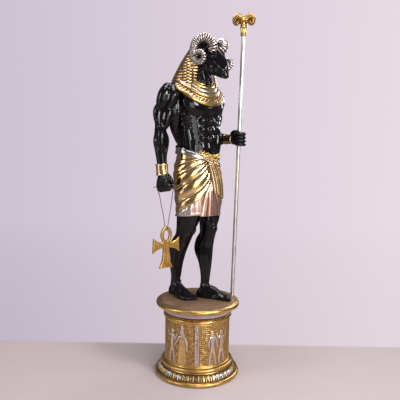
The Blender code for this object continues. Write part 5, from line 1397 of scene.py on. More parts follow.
clay = Clay((-9.0, -11.5, 136.0), (25.6, 11.5, 173.0), HEAD_PITCH)
st = np.array(HEAD)
t = np.linspace(0, len(st) - 1, (len(st) - 1) * 4 + 1)
for row in np.stack([np.interp(t, np.arange(len(st)), st[:, i]) for i in range(5)], axis=-1):
    fs, fz, bs, bz, w = row
    long = math.hypot(fs - bs, fz - bz) / 2
    lean = math.degrees(math.atan2(fs - bs, fz - bz))
    clay.ball(((fs + bs) / 2, 0, (fz + bz) / 2), (min(2.4, w), w - 0.2, long - 0.2), 0.45, 0, 0, lean)
clay.level_skin([(-1.0, 0, 136.5, 9.4, 8.6), (1.0, 0, 142, 8.6, 7.8), (1.6, 0, 146, 7.8, 7.3),
                 (2.4, 0, 150, 7.2, 6.9), (4.0, 0, 155, 7.0, 6.6), (5.0, 0, 160, 6.6, 6.2)], 0.0, 1.4)
for m in (-1, 1):
    def at(*points):
        return [(s, t * m, z) for s, t, z in points]
    clay.ball((11.8, 4.3 * m, 154.2), (3.6, 2.7, 4.4), 1.0, 0, 0, -20)
    clay.rope(at((9.4, 4.8, 152.4), (12.6, 4.3, 149.9), (17.0, 3.3, 148.2)), [1.6, 1.3, 1.0], 0.9)
    clay.rope(at((12.4, 6.0, 157.0), (16.2, 5.2, 154.9), (19.6, 3.9, 151.8)), [1.2, 1.1, 0.8], 0.8)
    clay.rope(at((11.6, 5.6, 161.8), (14.6, 5.7, 162.5), (17.6, 4.5, 160.8)), [1.1, 1.35, 0.9], 0.7)
    clay.ball((15.8, 6.6 * m, 159.2), (2.1, 1.25, 1.35), 0.5, 0, 0, 18, carve=True)
    clay.ball((15.5, 4.75 * m, 159.2), (1.55, 1.5, 1.30), 0.12)
    clay.rope(at((13.3, 5.75, 158.8), (14.6, 6.15, 160.3), (16.4, 5.85, 160.6), (18.0, 4.85, 159.2)),
              [0.30, 0.42, 0.42, 0.28], 0.15)
    clay.rope(at((13.3, 5.75, 158.7), (15.0, 6.05, 157.9), (16.9, 5.55, 157.7), (18.2, 4.75, 158.6)),
              [0.28, 0.36, 0.34, 0.26], 0.15)
    clay.rope(at((13.6, 6.0, 157.0), (16.4, 5.75, 156.0), (19.4, 4.35, 153.9)), [0.30, 0.42, 0.30], 0.3)
    clay.rope(at((14.2, 5.9, 156.0), (17.0, 5.3, 154.9), (19.2, 4.2, 153.0)), [0.26, 0.32, 0.24], 0.3,
              carve=True)
    clay.rope(at((20.9, 3.2, 149.2), (22.0, 3.0, 150.0), (23.0, 2.0, 149.6)), [0.5, 0.6, 0.5], 0.7)
    clay.rope(at((21.5, 3.5, 148.6), (22.5, 2.9, 148.8), (23.2, 2.0, 148.4)), [0.20, 0.36, 0.22], 0.3,
              carve=True)
    clay.rope(at((18.6, 3.6, 149.4), (21.0, 3.0, 148.6), (22.9, 1.2, 148.3)), [0.8, 0.85, 0.8], 0.6)
    clay.rope(at((18.2, 3.2, 147.4), (20.8, 2.4, 146.4), (22.0, 0.8, 146.1)), [0.8, 0.75, 0.65], 0.5)
    clay.rope(at((16.2, 4.4, 148.2), (18.8, 4.0, 147.2), (21.4, 3.0, 146.5), (22.7, 1.2, 146.3),
                 (23.0, 0, 146.3)),
              [0.16, 0.20, 0.20, 0.18, 0.18], 0.4, carve=True)
    clay.ball((11.3, 7.5 * m, 166.0), (3.5, 1.5, 4.6), 0.6, 8 * m, -22.0 * -m, 22)
    clay.ball((11.9, 9.2 * m, 166.5), (2.3, 1.3, 3.5), 0.4, 8 * m, -22.0 * -m, 22, carve=True)
    clay.rope(at((9.4, 8.4, 163.4), (11.6, 8.9, 166.0), (13.0, 9.3, 168.6)), [0.3, 0.4, 0.25], 0.25)
    clay.ball((7.2, 5.4 * m, 165.2), (3.8, 2.7, 4.4), 1.2)
    clay.ball((8.8, 8.2 * m, 157.4), (3.0, 2.4, 2.9), 0.8)
    clay.rope(at((5.0, 6.4, 156.0), (8.0, 4.4, 148.0), (8.6, 1.9, 140.0)), [1.5, 1.5, 1.4], 1.0)
clay.rope([(14.6, 0, 165.2), (18.0, 0, 160.9), (20.6, 0, 156.8), (22.3, 0, 153.0)], [1.6, 1.6, 1.7, 1.4],
          2.0)
clay.rope([(23.9, 0, 150.6), (23.6, 0, 148.4)], [0.22, 0.2], 0.35, carve=True)
for row in range(6):
    z = 153.0 - 2.3 * row
    s0, a, b = (float(np.interp(z, (136.5, 142, 146, 150, 155), v))
                for v in ((-1.0, 1.0, 1.6, 2.4, 4.0), (9.4, 8.6, 7.8, 7.2, 7.0), (8.6, 7.8, 7.3, 6.9, 6.6)))
    for i in range(-6, 7):
        lock = []
        for step, drop in ((0.0, 1.5), (0.55, 0.7), (0.25, -0.4), (-0.35, -1.1), (-0.15, -1.9)):
            turn_by = math.radians((i + 0.5 * (row % 2) + step * (1 if i >= 0 else -1)) * 16.0)
            lock.append((s0 + (a + 0.15) * math.cos(turn_by), (b + 0.15) * math.sin(turn_by), z + drop))
        clay.rope(lock, [0.40, 0.62, 0.66, 0.52, 0.24], 0.22)
head = lacquered("ram_head", clay, 1, on_head, flip=True)
settle(head, "black lacquer")

# Eyes: small domes, painted brown and clear coated so that they look like glass, set in the sockets.
eye_brown, net, shader = coat("eye brown", (0.055, 0.022, 0.018), 0.0, 0.12, Coat_Weight=1.0,
                              Coat_Roughness=0.03)
where = net("ShaderNodeTexCoord").outputs["Object"]
veins = net("ShaderNodeTexNoise", {}, {"Vector": where, "Scale": 420.0, "Detail": 3.0})
iris = net("ShaderNodeMix", {"data_type": "RGBA"},
           {0: veins.outputs["Fac"], 6: (0.035, 0.012, 0.010, 1), 7: (0.28, 0.085, 0.055, 1)})
plug(eye_brown, iris.outputs[2], shader.inputs["Base Color"])
eye_rings = []
for m in (1, -1):
    rings = []
    for j in range(1, 16):
        a = math.pi * j / 16
        row = [(15.55 + 1.20 * math.sin(a) * math.cos(b), (4.9 - 1.42 * math.cos(a)) * m,
                159.2 + 1.02 * math.sin(a) * math.sin(b))
                for b in (2 * math.pi * i / 28 for i in range(28))]
        rings.append(row)
    eye_rings.append(skin("eye", on_head(rings), eye_brown, flip=m > 0))
bm = bmesh.new()
for ob in eye_rings:
    bm.from_mesh(ob.data)
    bpy.data.objects.remove(ob, do_unlink=True)
eye_mesh = bpy.data.meshes.new("eyes")
bmesh.ops.recalc_face_normals(bm, faces=bm.faces)
bm.to_mesh(eye_mesh)
bm.free()
eye_mesh.materials.append(eye_brown)
eyes = bpy.data.objects.new("eyes", eye_mesh)
bpy.context.scene.collection.objects.link(eyes)
settle(eyes, "black lacquer")

# Horns: a pair of hollow cast ram's horns, closely ribbed, silver leafed with a brown wash between the
# ribs, pegged to the brow and wound back, down and forward again.
HORN = [
    (14.6, 4.4, 163.2), (16.2, 5.6, 165.0), (16.0, 6.8, 167.4), (14.7, 8.3, 169.3),
    (12.4, 9.7, 170.3), (9.7, 10.6, 169.7), (7.6, 11.5, 168.0), (6.5, 12.3, 165.2),
    (6.3, 13.2, 162.2), (6.7, 14.0, 159.2), (8.0, 14.6, 156.6), (10.6, 14.9, 154.8),
    (13.7, 14.9, 154.5), (15.9, 15.3, 156.0), (16.3, 15.7, 158.2), (14.9, 16.1, 159.9),
    (12.6, 16.4, 160.2), (10.4, 16.7, 159.6), (8.4, 17.0, 158.8),
]
HORN_RIBS = 42
horn_silver = leafed("horn silver", (0.84, 0.78, 0.75), (0.50, 0.42, 0.38), wash=(0.030, 0.012, 0.008),
                     grain=40.0, reach=0.80, polish=0.24)
horn_tree, net, take = geometry_tree("ribbed horn", [
    ("Ribs", "NodeSocketInt", 40), ("Root radius", "NodeSocketFloat", 0.027),
    ("Taper", "NodeSocketFloat", 0.009), ("Taper from", "NodeSocketFloat", 0.0),
    ("Taper to", "NodeSocketFloat", 1.0), ("Tip taper", "NodeSocketFloat", 0.010),
    ("Groove", "NodeSocketFloat", 0.12), ("Around", "NodeSocketInt", 28),
    ("Material", "NodeSocketMaterial", None)])




def close_tube(net, curve, around, material):
    """Ends a tree with a capped tube along a curve, as thick as the curve's own radius."""
    ring = net("GeometryNodeCurvePrimitiveCircle", {"mode": "RADIUS"},
               {"Resolution": around, "Radius": 1.0})
    swept = net("GeometryNodeCurveToMesh", {},
                {"Curve": curve, "Profile Curve": ring.outputs[0], "Fill Caps": True})
    if "Scale" in swept.inputs:
        swept.id_data.links.new(net("GeometryNodeInputRadius").outputs[0], swept.inputs["Scale"])
    close_tree(net, swept.outputs[0], material)


rings = sum_of(net, "MULTIPLY", take["Ribs"], 8.0)
even = net("GeometryNodeResampleCurve", {"mode": "COUNT"}, {"Curve": take["Geometry"], "Count": rings})
factor = net("GeometryNodeSplineParameter").outputs["Factor"]
past = net("ShaderNodeMapRange", {},
           {0: factor, 1: take["Taper from"], 2: take["Taper to"], 3: 0.0, 4: 1.0}).outputs[0]
body_size = sum_of(net, "SUBTRACT", take["Root radius"], sum_of(net, "MULTIPLY", past, take["Taper"]))
late = net("ShaderNodeMapRange", {}, {0: factor, 1: 0.72, 2: 1.0, 3: 0.0, 4: 1.0}).outputs[0]
body_size = sum_of(net, "SUBTRACT", body_size, sum_of(net, "MULTIPLY", late, take["Tip taper"]))
wave = sum_of(net, "SINE", sum_of(net, "MULTIPLY", sum_of(net, "MULTIPLY", factor, take["Ribs"]), math.pi))
crest = sum_of(net, "POWER", sum_of(net, "ABSOLUTE", wave), 0.95)
gap = sum_of(net, "SUBTRACT", 1.0, crest)
thinner = sum_of(net, "SUBTRACT", 1.0, sum_of(net, "MULTIPLY", gap, take["Groove"]))
size = sum_of(net, "MULTIPLY", body_size, thinner)
nose = net("ShaderNodeMapRange", {}, {0: factor, 1: 1.0, 2: 0.985, 3: 0.05, 4: 1.0}).outputs[0]
size = sum_of(net, "MULTIPLY", size, sum_of(net, "POWER", nose, 0.5))
sized = net("GeometryNodeSetCurveRadius", {}, {"Curve": even.outputs[0], "Radius": size})
told = net("GeometryNodeStoreNamedAttribute", {"data_type": "FLOAT", "domain": "POINT"},
           {"Geometry": sized.outputs[0], "Name": "hollow",
            "Value": sum_of(net, "MULTIPLY_ADD", gap, 3.6, -0.75)})
close_tube(net, told.outputs[0], take["Around"], take["Material"])
for side_name, m in (("right_horn", 1.0), ("left_horn", -1.0)):
    route = smooth_route([tuple(p) for p in on_head([(s, t * m, z) for s, t, z in HORN])], 260)
    horn = grown(side_name, poly_line(side_name, [tuple(p) for p in route]), horn_tree,
                 {"Ribs": HORN_RIBS, "Root radius": 0.0305, "Taper": 0.0125, "Taper from": 0.30,
                  "Taper to": 0.66,
                  "Tip taper": 0.0035, "Groove": 0.28, "Around": 30, "Material": horn_silver})
    outward(horn)
    settle(horn, "silver leaf")

# Headcloth: stiff carved cloth over the skull and down to the shoulders, in gold leaf, with raised
# bands, every other one a little silvered, and brown between. Two lappets hang before the shoulders.
HOOD = [
    (2.4, 170.4, 2.4, 2.0), (1.6, 169.0, 4.4, 3.2), (0.8, 166.0, 6.7, 4.4), (-0.2, 162.0, 8.7, 6.4),
    (-1.5, 157.0, 10.6, 8.6), (-3.0, 152.0, 12.4, 9.6), (-4.2, 147.5, 14.2, 10.4),
    (-4.8, 143.5, 15.8, 11.0), (-4.4, 139.0, 15.4, 10.0),
]
LAPPET = [
    (4.2, 8.8, 157.5, 2.2, 2.4), (5.2, 9.6, 152.0, 3.2, 3.2), (6.2, 10.4, 146.0, 3.8, 3.2),
    (7.4, 11.0, 141.0, 4.2, 2.8), (8.4, 11.2, 137.5, 4.0, 1.8),
]
BAND = 1.95
cloth_gold = leafed("headcloth gold", (0.82, 0.54, 0.20), (0.50, 0.28, 0.09), second=(0.80, 0.71, 0.62),
                    wash=(0.10, 0.035, 0.014), grain=26.0, reach=0.80, polish=0.18)


def blended(stations, rows):
    """Stations resampled to even rows, with the kinks between them eased."""
    st = np.array(stations, dtype=np.float64)
    t = np.linspace(0, len(st) - 1, 200)
    fine = np.stack([np.interp(t, np.arange(len(st)), st[:, i]) for i in range(st.shape[1])], axis=-1)
    fine = bell_eased(fine, 15)
    return np.stack([np.interp(np.linspace(0, 199, rows), np.arange(200), fine[:, i])
                     for i in range(fine.shape[1])], axis=-1)


def ribbed(phase, sharp=0.6):
    """Rounded ridges with narrow gaps: 1 on a ridge, 0 in a gap."""
    return np.abs(np.sin(np.pi * phase)) ** sharp


def cloth_band(z, turn_by):
    """Which band of the cloth a point is in: level at the sides, falling away toward the back."""
    back = np.clip((np.abs(turn_by) - 1.75) / 1.2, 0, 1)
    return z / BAND - back * (np.abs(turn_by) - 1.75) * 5.2


def squared_oval(turn_by, power):
    """Cosine and sine round an oval that is squarer the higher its power."""
    c, s = np.cos(turn_by), np.sin(turn_by)
    return np.sign(c) * np.abs(c) ** (2.0 / power), np.sign(s) * np.abs(s) ** (2.0 / power)


rows, columns = 128, 200
st = blended(HOOD, rows)
turn_by = 2 * np.pi * np.arange(columns) / columns
c, s = squared_oval(turn_by, 2.2)
z = st[:, 1][:, None] + 0 * turn_by[None]
phase = cloth_band(z, np.where(turn_by > np.pi, turn_by - 2 * np.pi, turn_by)[None])
crest = ribbed(phase)
low_down = np.clip((172.5 - z) / 6.0, 0, 1)
grow = 1.0 + (crest - 0.9) * 0.070 * low_down
ahead_by = st[:, 0][:, None] + c * st[:, 3][:, None] * grow
across_by = s * st[:, 2][:, None] * grow
places = on_head(np.stack([ahead_by, across_by, z], axis=-1))
silver = (np.floor(phase) % 2) * 0.40
# Besides the brown wash between the bands, the lower part of every band is darkened through the same mask:
# painted shade where the bands turn down.
shade = np.clip(0.45 - phase % 1.0, 0, 0.45)
hood = skin("headcloth", places, cloth_gold, True,
            {"hollow": (0.84 - crest) * 2.0 + shade, "silver": silver}, flip=True)
outward(hood)
settle(hood, "gold leaf")
for m in (1.0, -1.0):
    rows, columns = 92, 96
    set_back, spread_by, deeper = (6.2, 1.0, 1.42) if m > 0 else (1.6, 0.93, 1.0)
    st = blended([(s - set_back, t * m * spread_by, z, a, b * deeper) for s, t, z, a, b in LAPPET], rows)
    turn_by = 2 * np.pi * np.arange(columns) / columns
    c, s = squared_oval(turn_by, 2.4)
    z = st[:, 2][:, None] + 0 * turn_by[None]
    phase = cloth_band(z, 0 * turn_by[None])
    crest = ribbed(phase)
    grow = 1.0 + (crest - 0.9) * 0.15
    ahead_by = st[:, 0][:, None] + c * st[:, 4][:, None] * grow
    across_by = st[:, 1][:, None] + s * st[:, 3][:, None] * grow
    places = on_head(np.stack([ahead_by, across_by, z], axis=-1))
    silver = (np.floor(phase) % 2) * 0.45
    # The lappets' bands get the same painted shade on the lower part of each band.
    shade = np.clip(0.45 - phase % 1.0, 0, 0.45)
    lappet = skin("right_lappet" if m > 0 else "left_lappet", places, cloth_gold, True,
                  {"hollow": (0.84 - crest) * 2.0 + shade, "silver": silver})
    outward(lappet)
    settle(lappet, "gold leaf")

# Collar: a broad stiff collar lying on the shoulders, cast with rows of bars, beads and slanted leaves
# between raised rings, gold leaf over all and some rows silvered.
COLLAR = [
    (8.0, 8.2, 144.5, 147.0, 149.0), (11.5, 11.0, 140.5, 146.5, 146.5),
    (16.0, 13.8, 134.5, 144.3, 143.0), (19.6, 15.4, 129.2, 141.0, 138.0),
]
collar_gold = leafed("collar gold", GOLD, GOLD_SHADE, second=(0.80, 0.75, 0.70), grain=34.0, reach=0.72,
                     polish=0.21)


def drape(turn_by, front, flank, rear):
    c = np.cos(turn_by)
    return np.where(c > 0, flank + (front - flank) * np.abs(c) ** 1.3,
                    flank + (rear - flank) * np.abs(c) ** 1.3)


def draped_rows(rows_in, rows, turn_by, centre, angle):
    """Places over rows of half width, half depth and heights in front, at the sides, behind."""
    st = np.array(rows_in, dtype=np.float64)
    t = np.linspace(0, len(st) - 1, rows)
    st = np.stack([np.interp(t, np.arange(len(st)), st[:, i]) for i in range(5)], axis=-1)
    side, back = turned(angle)
    z = np.stack([drape(turn_by, *r[2:]) for r in st])
    u = st[:, 0][:, None] * np.sin(turn_by)[None]
    v = st[:, 1][:, None] * np.cos(turn_by)[None]
    return np.stack([centre[0] + side.x * u - back.x * v, centre[1] + side.y * u - back.y * v, z], axis=-1)


def push_out(places, amount):
    """Moves a ring grid out along its own normals by an amount for each point."""
    along_ring = np.roll(places, -1, axis=1) - np.roll(places, 1, axis=1)
    along_rows = np.gradient(places, axis=0)
    normal = np.cross(along_ring, along_rows)
    normal /= np.maximum(np.linalg.norm(normal, axis=-1, keepdims=True), 1e-9)
    middle = places.mean(axis=(0, 1))
    if (normal * (places - middle)).sum() < 0:
        normal = -normal
    return places + normal * amount[..., None]


rows, columns = 80, 480
turn_by = 2 * np.pi * np.arange(columns) / columns
places = draped_rows(COLLAR, rows, turn_by, (0, 4.0), CHEST_TURN)
v = np.linspace(0, 1, rows)[:, None] + 0 * turn_by[None]
count = turn_by[None] / (2 * np.pi) + 0 * v
amount = np.zeros_like(v)
silver = np.zeros_like(v)
COLLAR_ROWS = ((0.07, 0.215, "roll"), (0.225, 0.37, "roll"), (0.38, 0.525, "roll"),
               (0.535, 0.675, "roll"), (0.80, 0.955, "leaves"))
for start, stop, kind in COLLAR_ROWS:
    inside = (v > start) & (v < stop)
    w = np.clip((v - start) / (stop - start), 0, 1)
    hump = np.sin(np.pi * w) ** 0.5
    if kind == "roll":
        shape = hump * (0.93 + 0.07 * ribbed(count * 96 + 0.5 * w, 0.8)) * 1.6
    else:
        from_rib = np.abs(((count * 46 + 0.75 * w) % 1.0) - 0.5) * 2.0
        shape = np.clip(1.25 - from_rib / (0.30 + 0.62 * w), 0, 1) ** 0.6
        shape = shape * np.clip(hump * 1.4, 0, 1)
    amount = np.where(inside, 0.30 * shape, amount)
    most = 0.9 if kind == "leaves" else 0.55 * (start > 0.3)
    silver = np.where(inside, np.clip(shape * 1.6 - 0.5, 0, 1) * most, silver)
COLLAR_LINES = ((0.04, 0.022, 0.34), (0.69, 0.013, 0.36), (0.785, 0.013, 0.36), (0.972, 0.030, 0.55))
for line_at, wide, high in COLLAR_LINES:
    amount = np.maximum(amount, high * np.clip(1 - ((v - line_at) / wide) ** 2, 0, 1) ** 0.5)
places = push_out(places, amount - 0.22)
RIM = [(19.75, 15.55, 128.7, 140.5, 137.5), (19.5, 15.3, 128.3, 139.9, 136.9),
       (16.0, 12.0, 127.9, 137.0, 135.0), (8.0, 6.0, 128.2, 136.0, 134.0)]
rim = draped_rows(RIM, 7, turn_by, (0, 4.0), CHEST_TURN)
hollow = np.concatenate([0.80 - amount * 3.0, np.zeros((7, columns)) + 0.3])
silver = np.concatenate([silver, np.zeros((7, columns))])
collar = skin("broad_collar", on_figure(np.concatenate([places, rim])), collar_gold, True,
              {"hollow": hollow, "silver": silver})
outward(collar)
settle(collar, "gold leaf")
bead_rust = leafed("collar beads", (0.46, 0.17, 0.075), (0.28, 0.09, 0.04), second=GOLD, grain=70.0,
                   reach=0.9, polish=0.30)
on_line_tree, net, take = geometry_tree("beads on a line", [
    ("Count", "NodeSocketInt", 90), ("Bead", "NodeSocketFloat", 0.003),
    ("Material", "NodeSocketMaterial", None)])
even = net("GeometryNodeResampleCurve", {"mode": "COUNT"},
           {"Curve": take["Geometry"], "Count": take["Count"]})
bead = net("GeometryNodeMeshUVSphere", {}, {"Segments": 8, "Rings": 6, "Radius": take["Bead"]})
beads = net("GeometryNodeInstanceOnPoints", {},
            {"Points": even.outputs[0], "Instance": bead.outputs["Mesh"]})
close_tree(net, beads.outputs[0], take["Material"])
line = on_figure(places[int(round(0.73 * (rows - 1)))])
collar_beads = grown("collar_beads", poly_line("bead line", [tuple(p) for p in line[::3]], True),
                     on_line_tree, {"Count": 104, "Bead": 0.0040, "Material": bead_rust})
settle(collar_beads, "gold leaf")

# Kilt: a cast wrap in bright gold leaf, its curved edge open in front. Thin raised folds run from the
# knot round the hips, with smooth full panels between them and brown under each fold.
KILT = [
    (96.5, 2.3, 15.2, 12.0), (92.0, 2.4, 16.8, 13.3), (86.0, 2.2, 17.8, 14.1),
    (79.5, 1.6, 18.1, 14.3), (72.0, 1.1, 17.7, 14.2), (64.5, 0.8, 16.9, 14.0), (57.0, 0.6, 16.0, 13.5),
]
KNOT_TURN = math.radians(-8.0)
KNOT_LEVEL = 95.4
WRAP_HANG = 38.1
LONG_SIDE = 2.48
SHORT_SIDE = 1.5
EDGE_CURVE = 0.235
FOLD_FIRST, FOLD_STEP = 3.3, 7.4
kilt_gold = leafed("kilt gold", (0.96, 0.72, 0.36), (0.80, 0.53, 0.20), second=(0.82, 0.78, 0.75),
                   grain=9.0, reach=0.66, polish=0.12, dent=0.10)
kilt_silver = leafed("kilt silver", (0.86, 0.80, 0.76), (0.70, 0.58, 0.54), second=(0.84, 0.47, 0.34),
                     wash=(0.24, 0.10, 0.06), grain=16.0, reach=0.50, polish=0.24, dent=0.22)
kilt_heights = np.linspace(57.0, 96.5, 160)
rising = np.array(KILT)[::-1]
kilt_form = bell_eased(np.stack([np.interp(kilt_heights, rising[:, 0], rising[:, i]) for i in (1, 2, 3)],
                                axis=-1), 17).T


def kilt_wall(turn_by, z, out=0.0):
    """Places round the hips at a height, pushed out from the wall by an amount."""
    y, a, b = (np.interp(z, kilt_heights, form) for form in kilt_form)
    nx, ny = np.sin(turn_by) / a, -np.cos(turn_by) / b
    size = np.hypot(nx, ny)
    return np.stack([np.sin(turn_by) * a + out * nx / size, y - np.cos(turn_by) * b + out * ny / size,
                     z + 0 * turn_by], axis=-1)


def edge_fall(away, near):
    """How far the wrap's edge has fallen below the knot, by the turn away from it."""
    return WRAP_HANG * np.clip(near / np.where(away < math.pi, LONG_SIDE, SHORT_SIDE), 0, 1) ** EDGE_CURVE


def fanned(level):
    """How sharply the folds bend at the knot: the lower ones run straighter."""
    return np.exp(1.36 - 0.0765 * level)


columns, rows = 500, 100
away = (2 * np.pi * np.arange(columns) / columns)[None]
near = np.minimum(away, 2 * math.pi - away)
near = np.clip(math.pi - np.sqrt((math.pi - near) ** 2 + 0.03) + 0.005, 0.012, None)
edge_drop = edge_fall(away, near)
run = np.linspace(0, 1, rows)[:, None]
wrap_top = 96.5 + 2.2 * np.clip((near - 0.4) / 0.8, 0, 1)
z = wrap_top - run * (wrap_top - KNOT_LEVEL + edge_drop)
drop = KNOT_LEVEL - z
family = np.linspace(0.0, 75.0, 300)
bend = fanned(family)
level = np.empty((rows, columns))
for i in range(columns):
    level[:, i] = np.interp(drop[:, i], family * (near[0, i] / LONG_SIDE) ** bend, family)
lean = fanned(level) * np.clip(drop, 0, None) / (near * 17.0)
pitch = np.gradient(level, axis=0) / np.maximum(np.gradient(drop, axis=0), 1e-6)
index = (level - FOLD_FIRST) / FOLD_STEP
offset = (index + 0.5) % 1.0 - 0.5
room = FOLD_STEP / np.maximum(pitch, 0.2) / np.sqrt(1 + lean ** 2)
distance = offset * room
fade = np.clip(room / 2.2, 0, 1) * np.clip(drop / 2.0, 0, 1)
ridge = np.clip(1 - (distance / 0.42) ** 2, 0, 1) ** 0.6 * fade
groove = np.clip(1 - np.abs(distance - 0.80) / 0.48, 0, 1) * fade
swell = np.sin(np.pi * (index % 1.0)) ** 0.8 * np.clip(room / 5.0, 0.1, 1) * 0.85
to_edge = (z - z[-1:]) / np.sqrt(1 + lean[-1:] ** 2)
lip = np.clip(1 - np.abs(to_edge - 0.45) / 0.45, 0, 1) ** 0.6
amount = -0.55 + np.maximum(swell + 0.40 * ridge - 0.60 * groove, 0.55 * lip)
turned_by = KNOT_TURN - away + 0 * z
shell = kilt_wall(turned_by, z, amount)
under = [kilt_wall(turned_by[-1:], z[-1:] + up, out + 0 * away)
         for up, out in ((0.0, -0.9), (1.0, -1.6), (6.0, -2.2))]
kilt = skin("kilt_wrap", on_figure(np.concatenate([shell, *under])), kilt_gold, True,
            {"hollow": np.concatenate([0.22 - 1.0 * ridge - 0.8 * lip + 2.6 * groove,
                                       np.full((3, columns), 0.9)]),
             "silver": np.zeros((rows + 3, columns))})
outward(kilt)
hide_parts("figure")
settle(kilt, "gold leaf")

# Lower cloth: the straight cloth under the wrap, showing below its edge. Silver leaf, rubbed back to a
# rose ground in front, in a few soft upright folds with a thin raised hem.
columns, rows = 360, 40
away = (2 * np.pi * np.arange(columns) / columns)[None]
near = np.minimum(away, 2 * math.pi - away)
hem_level = 58.2 - 1.6 * np.clip((near - 0.8) / 1.4, 0, 1)
z = 84.0 + (hem_level - 84.0) * np.linspace(0, 1, rows)[:, None]
wrap_edge = KNOT_LEVEL - edge_fall(away, near)
soft = np.sin(near * 13.0 + 0.8) * 0.5 + 0.3 * np.sin(near * 29.0)
hem = np.clip(1 - np.abs(z - hem_level - 1.0) / 0.5, 0, 1) ** 0.5
fuller = 1.7 * np.clip((near - 0.7) / 0.6, 0, 1) * np.clip((wrap_edge - z + 1.0) / 2.5, 0, 1)
amount = -1.05 + 0.32 * soft * np.clip((84 - z) / 14, 0, 1) + 0.25 * hem + fuller
shell = kilt_wall(KNOT_TURN - away + 0 * z, z, amount)
under = [kilt_wall(KNOT_TURN - away, hem_level + up, fuller[-1:] + out)
         for up, out in ((-0.05, -1.6), (0.7, -2.6), (2.7, -3.2))]
rubbed_through = 0.35 + 0.8 * np.sin(near * 21 + z * 0.14) * np.cos(z * 0.3)
rosy = np.clip((1.0 - near) / 0.25, 0, 1) * np.clip(rubbed_through, 0.1, 1)
lower_cloth = skin("lower_cloth", on_figure(np.concatenate([shell, *under])), kilt_silver, True,
                   {"hollow": np.concatenate([0.28 - 0.5 * soft - 0.6 * hem, np.full((3, columns), 0.7)]),
                    "silver": np.concatenate([rosy, np.zeros((3, columns))])})
outward(lower_cloth)
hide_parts("figure")
settle(lower_cloth, "silver leaf")

# Underskirt: the end of the lower cloth hanging in front between the wrap's edges, silver leaf rubbed
# back to the rose ground in blotches.
columns, rows = 220, 84
run = np.linspace(0, 1, rows)[:, None]
z = np.interp(run, (0, 1), (90.0, 58.0))
right_side = -np.interp(z, (56.9, 68, 74, 78, 83, 90), (10.4, 8.4, 6.9, 3.6, 1.6, 1.6))
left_side = np.interp(z, (56.9, 67, 72, 80, 90), (8.8, 7.0, 3.6, 1.0, 0.0))
middle_x, half = (left_side + right_side) / 2, (left_side - right_side) / 2
turn_by = (2 * np.pi * np.arange(columns) / columns)[None]
deep, across = squared_oval(turn_by, 3.0)
pleat = np.cos(across * np.pi * 2.6 + 0.7) * 0.30 + 0.12 * np.cos(across * 19.0)
pleat = pleat * np.clip(run * 1.6, 0, 1) * (deep > 0)
at = middle_x + across * half
places = np.stack([at, np.interp(z, (56.9, 70, 80, 90), (-12.5, -12.3, -11.8, -11.0)) + 0.020 * at ** 2
                   - deep * (1.05 + pleat), z + 0 * across], axis=-1)
blotch = 0.5 + 0.5 * np.sin(at * 0.9 + np.sin(z * 0.35) * 1.6) * np.cos(z * 0.21)
underskirt = skin("underskirt", on_figure(places), kilt_silver, True,
                  {"hollow": 0.30 - pleat * 1.1 + 0 * z, "silver": np.clip(0.45 + blotch * 0.75, 0, 1)})
outward(underskirt)
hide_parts("figure")
settle(underskirt, "silver leaf")

# Sash: the knotted ends of the cloth, falling from the knot over the front and spreading to the left
# in narrow gold pleats with brown between them.
PLEATS = 5
rows, columns = 96, 220
run = np.linspace(0, 1, rows)[:, None]
knots = (0, .26, .46, .70, 1)
middle = np.radians(np.interp(run, knots, (-7, 3, 9, 14, 18)))
half = np.radians(np.interp(run, knots, (10, 16, 19, 21, 22)))
turn_by = (2 * np.pi * np.arange(columns) / columns)[None]
deep, across = squared_oval(turn_by, 3.0)
z = np.interp(run, (0, 1), (95.0, 70.6)) - 2.4 * across * run ** 3
pleat = ribbed((across + 1) / 2 * PLEATS, 2.2)
amount = np.where(deep > 0, 0.5 + deep * (0.05 + pleat), 0.4 + deep * 1.2) + 0.1 * run
sash = skin("sash", on_figure(kilt_wall(middle + across * half, z, amount)), kilt_gold, True,
            {"hollow": np.where(deep > 0, 1.25 - 1.7 * pleat, 0.9) + 0 * z, "silver": 0 * z})
outward(sash)
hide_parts("figure")
settle(sash, "gold leaf")

# Belt: a smooth silver leafed girdle round the hips, dipping to the front, with a thin raised edge.
BELT = [
    (14.6, 11.2, 97.2, 101.8, 101.2), (15.7, 12.3, 97.1, 101.9, 101.3), (16.3, 12.9, 96.4, 101.2, 100.6),
    (16.75, 13.4, 95.0, 99.9, 99.3), (16.85, 13.55, 93.7, 98.8, 98.2), (16.5, 13.2, 93.1, 98.1, 97.5),
    (15.4, 12.0, 92.9, 97.7, 97.1),
]
belt_silver = leafed("belt silver", (0.70, 0.66, 0.65), (0.46, 0.40, 0.40), wash=(0.12, 0.06, 0.05),
                     grain=18.0, reach=0.72, polish=0.15, dent=0.14)
rows, columns = 32, 360
turn_by = 2 * np.pi * np.arange(columns) / columns
places = draped_rows(BELT, rows, turn_by, (0, 2.2), 0.0)
v = np.linspace(0, 1, rows)[:, None] + 0 * turn_by[None]
amount = (0.28 * np.clip(1 - np.abs(v - 0.74) / 0.05, 0, 1) ** 0.5
          + 0.2 * np.clip(1 - np.abs(v - 0.2) / 0.05, 0, 1) ** 0.5)
places = push_out(places, amount - 0.16)
belt = skin("belt", on_figure(places), belt_silver, True,
            {"hollow": 0.30 - amount * 2.6 + 0.7 * np.clip(1 - np.abs(v - 0.66) / 0.05, 0, 1),
             "silver": 0 * v})
outward(belt)
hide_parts("figure")
settle(belt, "silver leaf")

# Garland: a curved cluster of small gilded flowers and leaves over the knot, with a thin silvered cord
# hanging in a curve under it.
GARLAND_MIDDLE = -2.2
clay = Clay((-11.4, -14.6, 90.5), (9.4, -5.5, 103.5), 0.15)


def on_belt(u, out):
    return 2.2 - 13.6 * math.sqrt(1 - (u / 16.9) ** 2) - out


